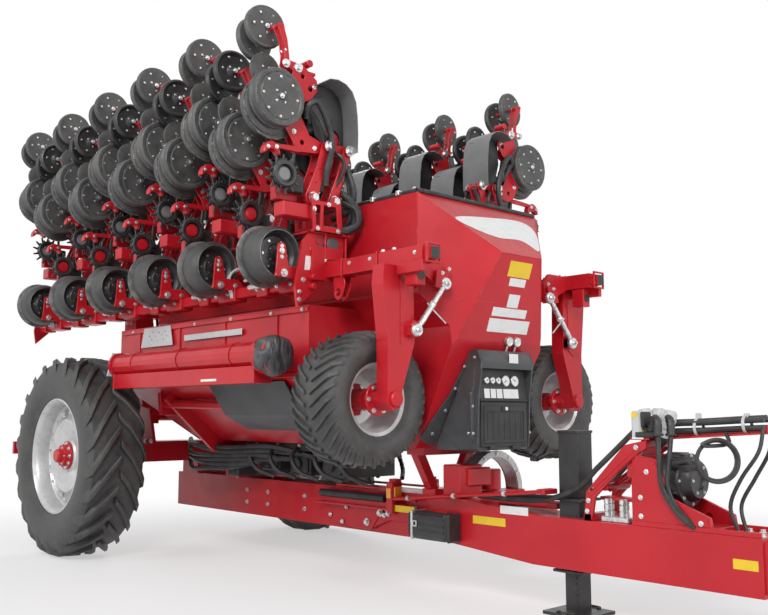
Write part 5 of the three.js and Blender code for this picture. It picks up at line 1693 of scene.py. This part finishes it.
def underside_hoses():
    """Bundles of seed hoses from the metering unit to both sides."""
    random.seed(3)
    dark = Drawn()
    for name, side in SIDES:
        for i in range(6):
            lift = 0.035 * i
            wave = random.uniform(-0.03, 0.03)
            dark.add(
                tube([(1.3 + 0.15 * i, side * 0.255, 0.83 + wave),
                (1.1 + 0.1 * i, side * 0.4, 0.74 + lift), (0.75 + 0.06 * i, side * 0.46, 0.72 + lift),
                (0.45, side * 0.42, 0.74 + lift + wave), (0.28, side * 0.34, 0.86 + lift * 0.5)], 0.021,
                8, 7, 0.003))
        for i in range(5):
            x = 1.3 + 0.28 * i
            dark.add(
                tube([(x, side * 0.345, 0.92), (x + 0.03, side * 0.42, 0.84), (x + 0.1, side * 0.4, 0.74),
                (x + 0.2, side * 0.3, 0.68)], 0.019, 8, 6, 0.003))
    finished("seed_hose_bundles", dark.mesh(), HOSE)
    boxes = Drawn()
    for name, side in SIDES:
        for x in (1.28, 1.68, 2.08):
            boxes.add(block(x, x + 0.2, side * 0.245, side * 0.27, 0.72, 0.86, 0.01),
                bar((x + 0.1, side * 0.26, 0.79), (x + 0.1, side * 0.3, 0.79), 0.045, 16, 0.006))
        boxes.add(block(0.95, 1.1, side * 0.18, side * 0.38, 0.66, 0.9, 0.01),
            bar((1.98, side * 0.205, 0.58), (2.7, side * 0.205, 0.58), 0.028, 14, 0.004))
    finished("meter_boxes", boxes.mesh(), PLASTIC)
    ends = Bolts()
    for s in (-1, 1):
        for i in range(5):
            ends.at((1.32 + 0.28 * i, s * 0.3405, 0.93), (0, s, 0), 0.01)
    finished("meter_bolts", ends.mesh(), ZINC)


# ---- drawbar -----------------------------------------------------------------------------
def beam_marks():
    side_x = BEAM_HALF + 0.0004
    yellow = Drawn()
    white = Drawn()
    for s in (-1, 1):
        low, high = sorted((s * side_x, s * (side_x + 0.0012)))
        yellow.add(block(3.47, 3.74, low, high, 0.475, 0.525, 0),
            block(5.215, 5.345, low, high, 0.405, 0.455, 0))
        white.add(block(3.7, 3.92, low, high, 0.556, 0.605, 0))
    finished("beam_yellow_marks", yellow.mesh(), YELLOW)
    finished("beam_white_marks", white.mesh(), WHITE)


def side_brackets():
    for name, side in SIDES:
        out = BEAM_HALF + 0.0255
        red = Drawn(
            plate("y", out, out + 0.008,
            [(2.3, 0.35), (2.52, 0.35), (2.6, 0.45), (2.64, 0.56), (2.6, 0.605), (2.28, 0.605)],
            (circle(2.48, 0.4, 0.022, 12),), 0.002),
            hoop((2.44, out + 0.009, 0.55), LEFT, 0.035, 0.006, 20, 6),
            block(2.742, 2.8, out - 0.035, out + 0.065, 0.49, 0.7, 0.004),
            block(1.95, 2.742, out, out + 0.065, 0.505, 0.52, 0.003),
            block(2.15, 2.742, out - 0.01, out + 0.03, 0.64, 0.655, 0.003),
            bar((2.6, out - 0.01, 0.6), (3.0, out + 0.02, 0.585), 0.014, 10),
            bar((2.9, out + 0.012, 0.49), (3.3, out + 0.03, 0.53), 0.012, 10),
            block(1.96, 2.72, out, out + 0.004, 0.56, 0.585, 0.002))
        finished(f"{name}_side_bracket_plates", red.mesh(side), RED)
        amber = Drawn(block(2.8005, 2.814, out - 0.022, out + 0.05, 0.575, 0.67, 0.005),
            block(2.75, 2.795, out + 0.066, out + 0.074, 0.59, 0.66, 0.003))
        finished(f"{name}_side_reflector", amber.mesh(side), AMBER)
        strip = Drawn(block(2.78, 3.0, out + 0.03, out + 0.038, 0.5, 0.545, 0.002))
        finished(f"{name}_side_yellow_bar", strip.mesh(side), YELLOW)
        ends = Drawn(block(2.755, 2.785, out + 0.026, out + 0.042, 0.49, 0.553, 0.003),
            block(2.995, 3.02, out + 0.026, out + 0.042, 0.49, 0.553, 0.003))
        finished(f"{name}_side_bar_ends", ends.mesh(side), ANTHRACITE)
        bolts = Bolts()
        for x, z in ((2.05, 0.55), (2.06, 0.42), (2.25, 0.49), (2.2, 0.38), (2.7, 0.5), (2.66, 0.46)):
            bolts.at((x, out + 0.0085, z), LEFT, 0.011)
        bolts.at((2.48, out + 0.0085, 0.4), LEFT, 0.018)
        bolts.at((2.62, out + 0.0085, 0.475), LEFT, 0.018)
        bolts.at((2.7, out + 0.0085, 0.475), LEFT, 0.013)
        for x in (0.9, 1.2, 1.7):
            for z in (0.43, 0.53):
                bolts.at((x, BEAM_HALF + 0.0004, z), LEFT, 0.012)
        finished(f"{name}_side_bracket_bolts", bolts.mesh(side), ZINC)


def document_tube():
    """The black canister under the beam's side, with its strap."""
    y = -(BEAM_HALF + 0.13)
    drawn = Drawn(block(2.982, 3.03, y + 0.002, -0.147, 0.352, 0.525, 0.02),
        block(3.035, 3.345, y, -0.147, 0.348, 0.528, 0.025),
        block(3.345, 3.37, y + 0.004, -0.147, 0.346, 0.53, 0.01))
    for z in (0.4, 0.44, 0.48):
        drawn.add(block(3.08, 3.33, y - 0.003, y + 0.01, z, z + 0.014, 0.004))
    finished("canister_body", drawn.mesh(), PLASTIC, ["canister"])
    strap = Drawn(block(3.028, 3.046, y - 0.004, -0.1465, 0.345, 0.5315, 0.002),
        plate("y", y - 0.009, y - 0.004, [(3.05, 0.43), (3.09, 0.43), (3.09, 0.47), (3.05, 0.47)],
        ([(3.058, 0.438), (3.082, 0.438), (3.082, 0.462), (3.058, 0.462)],), 0.001))
    finished("canister_strap", strap.mesh(), ZINC)


def fan_duct():
    duct = []
    for i in range(19):
        turn = math.pi * i / 18
        duct.append((0.19 + 0.262 * math.cos(turn), 0.655 + 0.262 * math.sin(turn)))
    inner = []
    for i in range(19):
        turn = math.pi * (1 - i / 18)
        inner.append((0.19 + 0.225 * math.cos(turn), 0.655 + 0.225 * math.sin(turn)))
    ring = Drawn(plate("x", 3.275, 3.385, duct + inner, edge=0.012))
    for x in (3.272, 3.38):
        outer = [(0.19 + 0.269 * math.cos(math.pi * i / 18), 0.655 + 0.269 * math.sin(math.pi * i / 18))
            for i in range(19)]
        ring.add(plate("x", x, x + 0.008, outer + inner, edge=0.002))
    finished("fan_duct", ring.mesh(), SILVER, ["seed_fan"])
    red = Drawn(block(3.245, 3.4, -0.19, 0.03, 0.632, 0.84, 0.008),
        block(3.26, 3.42, -0.12, 0.1, 0.7, 0.82, 0.01),
        block(3.255, 3.405, 0.147, 0.465, 0.605, 0.655, 0.004),
        bar((3.33, 0.19, 0.66), (3.33, 0.19, 0.8), 0.07, 20, 0.008))
    finished("fan_housing", red.mesh(), RED)
    bolts = Bolts()
    for i in range(1, 6):
        turn = math.pi * i / 6
        bolts.at((3.3885, 0.19 + 0.247 * math.cos(turn), 0.655 + 0.247 * math.sin(turn)), AHEAD, 0.008)
    finished("fan_bolts", bolts.mesh(), ZINC)


def jack_trims():
    half = JACK_HALF
    black = Drawn(block(JACK_X - half - 0.006, JACK_X + half + 0.006, -half - 0.006, half + 0.006, 1.058,
        1.0745, 0.003))
    for z in (0.66, 0.245):
        black.add(
            plate("z", z, z + 0.016,
            [(JACK_X - 0.105, -0.105), (JACK_X + 0.105, -0.105), (JACK_X + 0.105, 0.105),
            (JACK_X - 0.105, 0.105)],
            ([(JACK_X - half - 0.001, -half - 0.001), (JACK_X + half + 0.001, -half - 0.001),
            (JACK_X + half + 0.001, half + 0.001), (JACK_X - half - 0.001, half + 0.001)],), 0.003))
    black.add(bar((JACK_X - half - 0.12, 0, 0.93), (JACK_X - half, 0, 0.93), 0.028, 14, 0.004),
        bar((JACK_X - half - 0.11, 0, 0.93), (JACK_X - half - 0.11, -0.13, 0.9), 0.012, 10),
        bar((JACK_X - half - 0.11, -0.13, 0.9), (JACK_X - half - 0.16, -0.13, 0.9), 0.015, 10))
    finished("jack_collars", black.mesh(), BLACK)
    leg = Drawn()
    # lashing loops lie on the foot, clear of the lower collar when the leg is up
    for s in (-1, 1):
        leg.add(
            tube([(JACK_X - 0.05, s * 0.114, 0.026), (JACK_X - 0.05, s * 0.14, 0.027),
            (JACK_X + 0.05, s * 0.14, 0.027), (JACK_X + 0.05, s * 0.114, 0.026)], 0.006, 8, 4))
    for s in (-1, 1):
        for k in range(6):
            z = 0.05 + 0.033 * k
            leg.add(bar((JACK_X + 0.02, s * 0.049, z), (JACK_X + 0.02, s * 0.056, z), 0.008, 8))
    finished("jack_foot_grips", leg.mesh(), BLACK, body="jack_leg")


def pump_trims():
    low = DECK
    red = Drawn()
    for s in (-1, 1):
        out = s * 0.1403
        face = [(4.66, low + 0.03), (5.09, low + 0.03), (5.085, 0.635), (4.875, 0.72), (4.79, 0.92),
            (4.68, 0.94)]
        red.add(plate("y", out, out + s * 0.004, face, edge=0.001),
            bar((4.36, s * 0.13, 0.705), (4.7, s * 0.13, 0.985), 0.016, 10))
    red.add(block(4.6, 4.66, -0.118, 0.118, 0.82, 0.94, 0.006),
        block(4.37, 4.62, -0.05, 0.05, 0.68, 0.7, 0.004),
        bar((4.45, -0.12, 0.76), (4.45, 0.12, 0.76), 0.022, 12, 0.003),
        bar((4.6, 0.0, 0.87), (4.4, 0.0, 0.74), 0.02, 12))
    # folded boom above the pump
    for s in (-1, 1):
        red.add(plate("y", s * 0.013, s * 0.02,
            [(4.7, 1.04), (4.74, 1.035), (5.355, 1.076), (5.355, 1.112), (4.7, 1.088)], edge=0.001))
    red.add(plate("y", -0.05, 0.05, [(4.72, 1.028), (5.34, 1.07), (5.34, 1.078), (4.72, 1.036)],
        edge=0.001))
    finished("pump_red_plates", red.mesh(), RED, ["pump_bracket"])
    frame_plates = Drawn()
    bracket = [(4.64, low + 0.01), (5.11, low + 0.01), (5.1, 0.64), (4.88, 0.73), (4.8, 0.93),
        (4.67, 0.95), (4.64, 0.8)]
    stay = [(4.32, low), (4.375, low), (4.4, 0.7), (4.64, 0.93), (4.74, 0.985), (4.74, 1.03), (4.6, 1.0),
        (4.34, 0.73)]
    for s in (-1, 1):
        low_y, high_y = sorted((s * 0.12, s * 0.14))
        frame_plates.add(plate("y", low_y, high_y, bracket, (circle(4.95, 0.62, 0.02, 10),), 0.003),
            plate("y", low_y, high_y, stay, (circle(4.38, 0.74, 0.016, 10),), 0.003))
    frame_plates.add(block(4.64, 5.11, -0.145, 0.145, low, low + 0.02, 0.003),
        block(4.32, 4.375, -0.14, 0.14, low, low + 0.04, 0.003),
        block(4.64, 4.69, -0.13, 0.13, 0.78, 0.95, 0.004),
        block(4.7, 4.74, -0.13, 0.13, 0.99, 1.03, 0.004))
    finished("pump_frame", frame_plates.mesh(), RED)
    drum = Drawn(
        turned([(0, 0.0), (0.058, 0.0), (0.058, 0.055), (0.1, 0.06), (0.116, 0.07), (0.116, 0.1),
        (0.14, 0.1), (0.141, 0.115), (0.132, 0.12), (0.132, 0.215), (0.141, 0.22), (0.141, 0.233),
        (0.118, 0.236), (0.11, 0.255), (0.106, 0.272), (0.095, 0.282), (0.055, 0.282), (0.05, 0.27),
        (0, 0.27)], (4.692, 0, 0.82), AHEAD, 40))
    for i in range(12):
        turn = math.pi * i / 6
        out = Vector((0, math.cos(turn), math.sin(turn)))
        drum.add(bar(Vector((4.82, 0, 0.82)) + out * 0.131, Vector((4.9, 0, 0.82)) + out * 0.131, 0.007,
            6))
    drum.add(block(4.8, 4.9, -0.05, 0.05, 0.92, 0.965, 0.01))
    finished("pump_housing", drum.mesh(), BLACK, ["pump_drum"])
    bolts = Bolts()
    bolts.ring((4.9256, 0, 0.82), AHEAD, 0.128, 8, 0.007)
    bolts.ring((4.9745, 0, 0.82), AHEAD, 0.075, 6, 0.006)
    for s in (-1, 1):
        for x, z in ((4.7, 0.62), (4.74, 0.86), (4.7, 0.72), (5.05, 0.61), (4.35, 0.62), (4.36, 0.68),
                (4.68, 0.99)):
            bolts.at((x, s * 0.1445, z), (0, s, 0), 0.01)
    finished("pump_bolts", bolts.mesh(), ZINC)


def couplers():
    """Four couplings with their caps and collars."""
    low = DECK
    drawn = Drawn(block(4.41, 4.59, -0.1, -0.02, low, low + 0.03, 0.004))
    for x, y in ((4.44, -0.08), (4.44, -0.04), (4.54, -0.08), (4.54, -0.04)):
        drawn.add(
            turned([(0, 0), (0.012, 0), (0.012, 0.008), (0.017, 0.012), (0.017, 0.034), (0.013, 0.037),
            (0.013, 0.042), (0.0175, 0.046), (0.0175, 0.075), (0.012, 0.079), (0.0175, 0.083),
            (0.0175, 0.104), (0.012, 0.109), (0.0, 0.109)], (x, y, low + 0.02), UP, 18))
    finished("coupler_bodies", drawn.mesh(), ZINC, ["hose_couplers"])


def connectors():
    """Parked plugs, caps and the boom's hoses."""
    pale = Drawn()
    dark = Drawn()
    hoses = Drawn()
    pale.add(block(4.655, 4.715, -0.15, -0.07, 1.04, 1.19, 0.01))
    dark.add(block(4.716, 4.74, -0.155, -0.075, 1.1, 1.185, 0.006))
    for x, y, z, lean in ((4.7, -0.05, 1.1, -12), (4.73, 0.0, 1.1, 8), (4.76, 0.05, 1.09, 14),
            (4.7, 0.08, 1.1, -8), (4.81, -0.07, 1.07, 25)):
        spot = (x, y, z)
        pale.add(
            tilted(
            turned([(0, 0.105), (0.03, 0.102), (0.041, 0.085), (0.042, 0.035), (0.034, 0.024),
            (0.034, -0.02), (0, -0.02)], spot, UP, 18), spot, lean, "Y"))
        dark.add(
            tilted(
            turned([(0, -0.02), (0.035, -0.02), (0.037, -0.03), (0.037, -0.05), (0.02, -0.075),
            (0, -0.075)], spot, UP, 16), spot, lean, "Y"))
    pale.add(block(4.62, 4.66, 0.02, 0.13, 1.06, 1.17, 0.008))
    for x in (4.98, 5.25):
        pale.add(turned([(0.047, -0.008), (0.052, -0.008), (0.052, 0.008), (0.047, 0.008)],
            (x, 0, 1.1 + (x - 4.98) * 0.07), (1, 0, 0.07), 18, closed=True),
            block(x - 0.012, x + 0.012, -0.014, 0.014, 1.145, 1.178, 0.004))
    for y, z in ((-0.03, 1.125), (0.0, 1.135), (0.03, 1.125), (-0.032, 1.085), (0.032, 1.085)):
        hoses.add(
            tube([(4.66, y * 2.2, z - 0.04), (4.8, y * 1.3, z - 0.01), (5.0, y, z), (5.2, y, z + 0.012),
            (5.355, y, z + 0.02)], 0.0145, 8, 6))
    coil = []
    for i in range(27):
        turn = math.radians(205 + 25 * i)
        wide = 0.098 + 0.0004 * i
        coil.append((5.175 + 0.673 * wide * math.cos(turn) + 0.0006 * i, -0.195
            + 0.739 * wide * math.cos(turn) - 0.0006 * i, 0.937 + wide * math.sin(turn)))
    hoses.add(
        tube([(4.87, -0.12, 0.905), (4.96, -0.17, 0.895), (5.04, -0.23, 0.89), *coil, (5.2, -0.12, 1.02),
        (5.16, -0.05, 1.07)], 0.0105, 8, 4))
    for x, y in ((4.8, -0.125), (4.84, -0.06)):
        hoses.add(
            tube([(x - 0.03, y, 1.09), (x, y - 0.02, 1.145), (x + 0.035, y - 0.05, 1.13),
            (x + 0.045, y - 0.065, 1.06)], 0.024, 10, 6, 0.003),
            bar((x + 0.045, y - 0.065, 1.056), (x + 0.045, y - 0.065, 1.07), 0.03, 12, 0.003))
    hoses.add(tube([(4.845, -0.19, 1.06), (4.85, -0.195, 0.92), (4.855, -0.19, 0.8), (4.9, -0.175, 0.7),
        (4.97, -0.165, 0.62), (5.03, -0.12, 0.568)], 0.0135, 8, 7),
        tube([(4.885, -0.125, 1.06), (4.885, -0.155, 0.92), (4.88, -0.172, 0.8), (4.91, -0.16, 0.7),
        (4.98, -0.145, 0.62), (5.05, -0.1, 0.568)], 0.0135, 8, 7))
    for y in (-0.02, 0.02):
        hoses.add(
            tube([(5.352, y * 2, 1.1), (5.33, y * 3, 0.98), (5.24, y * 4, 0.84), (5.17, y * 3, 0.7),
            (5.2, y * 2, 0.568)], 0.0105, 8, 7))
    # from the pump back along the beam
    for y, top in ((-0.118, 1.02), (0.118, 1.0)):
        hoses.add(
            tube([(4.66, y, 1.08), (4.52, y, top - 0.06), (4.42, y * 1.25, 0.86), (4.29, y * 1.2, 0.75),
            (4.06, y * 1.15, 0.665), (3.8, y * 1.05, 0.645), (3.5, y, 0.648)], 0.016, 8, 7))
    dark.add(block(4.68, 4.8, -0.155, -0.08, 1.045, 1.075, 0.006),
        block(4.64, 4.68, -0.13, 0.13, 1.035, 1.06, 0.004),
        bar((4.86, -0.13, 0.905), (5.0, -0.15, 0.93), 0.02, 12, 0.003))
    finished("plug_caps", pale.mesh(), PANEL, ["connector_rack"])
    finished("plug_boots", dark.mesh(), PLASTIC)
    finished("drawbar_hoses", hoses.mesh(), HOSE)
    rack = Drawn(
        plate("y", -0.012, 0.012, [(4.7, 1.031), (4.74, 1.031), (5.36, 1.075), (5.36, 1.115),
        (4.7, 1.09)], edge=0.002), block(4.64, 4.76, -0.14, 0.14, 1.0305, 1.046, 0.002))
    finished("boom_rail", rack.mesh(), RED)
    yellow = Drawn(block(4.7155, 4.717, -0.14, -0.11, 1.05, 1.085, 0),
        block(4.66, 4.7, -0.1515, -0.1505, 1.155, 1.18, 0))
    finished("plug_yellow_tags", yellow.mesh(), YELLOW)
    white = Drawn(
        plate("y", -0.1465, -0.1455, [(4.66, 1.035), (4.73, 1.035), (4.73, 1.075), (4.66, 1.075)],
        edge=0))
    finished("plug_white_tags", white.mesh(), WHITE)


def control_rod():
    """The thin red rod along the beam with its pale clips."""
    y = -BEAM_HALF - 0.075
    start, end = Vector((2.79, y, 0.585)), Vector((4.08, y, 0.715))
    red = Drawn(bar(start, end, 0.012, 12), block(4.05, 4.11, y - 0.008, -0.1006, 0.7, 0.73, 0.003),
        block(2.76, 2.8, y - 0.012, y + 0.009, 0.57, 0.6, 0.002))
    finished("rod", red.mesh(), RED, ["control_rod"])
    clips = Drawn()
    for share in (0.12, 0.45, 0.78):
        spot = start.lerp(end, share)
        clips.add(bar(spot - Vector((0.012, 0, 0)), spot + Vector((0.012, 0, 0)), 0.017, 12, 0.002),
            block(spot.x - 0.008, spot.x + 0.008, y, y + 0.05, spot.z - 0.004, spot.z + 0.004, 0.001))
    finished("rod_clips", clips.mesh(), PANEL)


def drawbar_trims():
    """Weld-on details at the front of the drawbar."""
    red = Drawn()
    for s in (-1, 1):
        red.add(block(4.9, 5.365, s * 0.128, s * 0.144, 0.5652, 0.592, 0.003))
    red.add(block(3.6, 4.06, -0.05, 0.05, 0.6, 0.64, 0.006),
        hoop((5.6, 0, 0.449), UP, 0.076, 0.006, 28, 6))
    finished("drawbar_rails", red.mesh(), RED)
    bolts = Bolts()
    for x in (5.2, 5.27, 5.34):
        for y in (-0.08, 0.08):
            bolts.at((x, y, 0.5656), UP, 0.014)
    for y in (-0.1, 0.1):
        for z in (0.34, 0.5):
            bolts.at((5.3705, y, z), AHEAD, 0.015)
    finished("drawbar_bolts", bolts.mesh(), ZINC)


# ---- rear --------------------------------------------------------------------------------
def rear_trims():
    lamps = Drawn()
    boards = Drawn()
    black = Drawn()
    for s in (-1, 1):
        low, high = sorted((s * 0.915, s * 1.43))
        boards.add(block(-0.988, -0.9835, low, high, 0.812, 0.914, 0.001))
        for y0, y1 in ((1.22, 1.4), (0.95, 1.04)):
            a, b = sorted((s * y0, s * y1))
            lamps.add(block(-1.012, -0.988, a, b, 0.825, 0.9, 0.006))
        a, b = sorted((s * 1.06, s * 1.2))
        black.add(block(-0.998, -0.988, a, b, 0.835, 0.89, 0.003))
    finished("rear_boards", boards.mesh(), WHITE)
    finished("rear_lamps", lamps.mesh(), LAMP)
    finished("rear_lamp_backs", black.mesh(), PLASTIC)
    bolts = Bolts()
    for s in (-1, 1):
        for x, z in ((-0.22, 1.15),):
            bolts.ring((x, s * 0.6415, z), (0, s, 0), 0.028, 4, 0.007)
            bolts.at((x, s * 0.6415, z), (0, s, 0), 0.012)
        for x in (-0.17, 0.02, 0.12):
            bolts.at((x, s * 0.6405, 0.93), (0, s, 0), 0.014)
        for x in (-0.05, 0.05):
            for y in (0.2, 0.35, 0.7, 0.85):
                bolts.at((x, s * y, 0.8985), UP, 0.014)
    finished("rear_bolts", bolts.mesh(), ZINC)


def carrier_trims():
    """Rams, pin heads and hoses of the frame that tips the wings up."""
    bright = Drawn()
    dark = Drawn()
    red = Drawn()
    for s in (-1, 1):
        red.add(bar((-0.3, s * 0.515, 1.42), (-0.36, s * 0.515, 1.9), 0.05, 18, 0.006))
        bright.add(bar((-0.36, s * 0.515, 1.9), (-0.385, s * 0.515, 2.08), 0.028, 16))
        for z0, z1 in ((2.103, 2.109), (2.431, 2.437)):
            bright.add(turned([(0, 0), (0.05, 0), (0.05, z1 - z0), (0, z1 - z0)], (-0.645, s * 0.8, z0),
                UP, 20))
        dark.add(
            tube([(-0.35, s * 0.38, 1.3), (-0.42, s * 0.36, 1.7), (-0.45, s * 0.37, 2.05),
            (-0.47, s * 0.42, 2.25), (-0.44, s * 0.48, 2.36)], 0.016, 8, 8),
            tube([(-0.32, s * 0.34, 1.3), (-0.4, s * 0.32, 1.7), (-0.43, s * 0.33, 2.1),
            (-0.45, s * 0.4, 2.3)], 0.014, 8, 8))
    red.add(block(-0.5, -0.36, -0.06, 0.06, 2.171, 2.399, 0.01))
    for y in (-0.3, 0.3):
        red.add(plate("y", y - 0.008, y + 0.008,
            [(-0.5, 2.171), (-0.36, 2.171), (-0.36, 2.399), (-0.5, 2.399)],
            (circle(-0.43, 2.285, 0.05, 12),), 0.002))
    finished("carrier_rams", red.mesh(), RED, body="carrier")
    finished("carrier_ram_rods", bright.mesh(), ZINC, body="carrier")
    finished("carrier_hoses", dark.mesh(), HOSE, body="carrier")
    bolts = Bolts()
    for s in (-1, 1):
        for x, z in ((-0.4, 2.52), (-0.48, 2.52), (-0.4, 2.02), (-0.48, 2.02)):
            bolts.at((x, s * 0.6005, z), (0, s, 0), 0.012)
        for z in (2.11, 2.44):
            bolts.ring((-0.645, s * 0.8, z if z > 2.2 else 2.1025), (0, 0, 1 if z > 2.2 else -1), 0.03, 4,
                0.007)
    finished("carrier_bolts", bolts.mesh(), ZINC, body="carrier")


# ---- the CAD nodes that show -------------------------------------------------------------
CAD_FINISHES = (
    (RED, ("main_beam", "drawbar_eye", "rear_axle", "rear_tower", "tank_frame", "front_struts",
    "hopper_top", "hopper_belly", "left_side_bracket", "right_side_bracket", "carrier", "left_toolbar",
    "right_toolbar", "left_front_beam", "right_front_beam", "left_support_arm", "right_support_arm",
    "filling_auger")), (BLACK, ("metering_unit", "jack_sleeve", "jack_leg", "rear_lid", "front_lid")),
    (ANTHRACITE, ("console",)),)


def dress_cad():
    for material, nodes in CAD_FINISHES:
        for node in nodes:
            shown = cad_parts[node].material_slots
            for held in shown:
                held.material = material


# ---- studio ------------------------------------------------------------------------------
def studio():
    world = bpy.data.worlds.new("studio")
    bpy.context.scene.world = world
    world.use_nodes = True
    nodes = world.node_tree.nodes
    links = world.node_tree.links
    nodes.clear()
    out = nodes.new("ShaderNodeOutputWorld")
    sky = nodes.new("ShaderNodeBackground")
    sky.inputs["Color"].default_value = (0.93, 0.96, 1.0, 1)
    sky.inputs["Strength"].default_value = 0.36
    paper = nodes.new("ShaderNodeBackground")
    paper.inputs["Color"].default_value = (1, 1, 1, 1)
    paper.inputs["Strength"].default_value = 1.0
    mixed = nodes.new("ShaderNodeMixShader")
    links.new(seen_directly(nodes, links), mixed.inputs["Fac"])
    links.new(sky.outputs["Background"], mixed.inputs[1])
    links.new(paper.outputs["Background"], mixed.inputs[2])
    links.new(mixed.outputs["Shader"], out.inputs["Surface"])
    bpy.context.scene.view_settings.view_transform = "Standard"
    for name, place, aim, size, watts in (("key", (9.5, -8.5, 8.0), (1.8, 0, 1.2), 4.0, 820),
            ("side", (0.5, -10.5, 5.5), (1.5, 0, 1.6), 5.0, 330),
            ("front", (12.0, 1.5, 3.5), (3.0, 0, 1.4), 4.0, 200),
            ("back", (-7.5, 7.0, 7.0), (0.0, 0, 1.8), 5.0, 480)):
        light = bpy.data.lights.new(name, "AREA")
        light.shape = "DISK"
        light.size = size
        light.energy = watts
        lamp = bpy.data.objects.new(name, light)
        lamp.location = Vector(place) + Vector((AXLE_X, 0, 0))
        lamp.rotation_euler = (Vector(place) - Vector(aim)).to_track_quat("Z", "Y").to_euler()
        bpy.context.scene.collection.objects.link(lamp)


def seen_directly(nodes, links):
    """1 for rays from the camera, in mirrors and through glass."""
    path = nodes.new("ShaderNodeLightPath")
    first = nodes.new("ShaderNodeMath")
    first.operation = "MAXIMUM"
    links.new(path.outputs["Is Camera Ray"], first.inputs[0])
    links.new(path.outputs["Is Glossy Ray"], first.inputs[1])
    both = nodes.new("ShaderNodeMath")
    both.operation = "MAXIMUM"
    links.new(first.outputs["Value"], both.inputs[0])
    links.new(path.outputs["Is Transmission Ray"], both.inputs[1])
    return both.outputs["Value"]


def floor():
    half = 60.0
    mesh = bpy.data.meshes.new("studio_floor")
    mesh.from_pydata([(-half, -half, 0), (half, -half, 0), (half, half, 0), (-half, half, 0)], [],
        [(0, 1, 2, 3)])
    plane = bpy.data.objects.new("studio_floor", mesh)
    bpy.context.scene.collection.objects.link(plane)
    plane.data.materials.append(floor_paint())


def floor_paint():
    """Pale paint that takes the shadow, and turns plain white away from the drill."""
    paint = bpy.data.materials.new("studio_floor")
    paint.use_nodes = True
    nodes = paint.node_tree.nodes
    links = paint.node_tree.links
    pale = nodes["Principled BSDF"]
    pale.inputs["Base Color"].default_value = (0.84, 0.84, 0.84, 1)
    pale.inputs["Roughness"].default_value = 0.9
    pale.inputs["Emission Color"].default_value = (1, 1, 1, 1)
    pale.inputs["Emission Strength"].default_value = 0.0
    paper = nodes.new("ShaderNodeEmission")
    paper.inputs["Color"].default_value = (1, 1, 1, 1)
    paper.inputs["Strength"].default_value = 1.0
    place = nodes.new("ShaderNodeTexCoord")
    shift = nodes.new("ShaderNodeVectorMath")
    shift.operation = "LENGTH"
    reach = nodes.new("ShaderNodeMapRange")
    reach.interpolation_type = "SMOOTHSTEP"
    reach.inputs["From Min"].default_value = 3.2
    reach.inputs["From Max"].default_value = 7.0
    reach.inputs["To Min"].default_value = 0.5
    away = nodes.new("ShaderNodeMath")
    away.operation = "MULTIPLY"
    mixed = nodes.new("ShaderNodeMixShader")
    links.new(place.outputs["Object"], shift.inputs[0])
    links.new(shift.outputs["Value"], reach.inputs["Value"])
    links.new(reach.outputs["Result"], away.inputs[0])
    links.new(seen_directly(nodes, links), away.inputs[1])
    links.new(away.outputs["Value"], mixed.inputs["Fac"])
    links.new(pale.outputs["BSDF"], mixed.inputs[1])
    links.new(paper.outputs["Emission"], mixed.inputs[2])
    links.new(mixed.outputs["Shader"], nodes["Material Output"].inputs["Surface"])
    return paint


row_units()
coulter_gangs()
toolbar_trims()
front_beam_trims()
rear_wheels()
support_wheels()
hopper_labels()
hopper_edges()
hopper_bolts()
lids()
console_trims()
tool_box()
auger_trims()
underside_hoses()
beam_marks()
side_brackets()
document_tube()
fan_duct()
jack_trims()
pump_trims()
couplers()
connectors()
control_rod()
drawbar_trims()
rear_trims()
carrier_trims()
dress_cad()
studio()
floor()
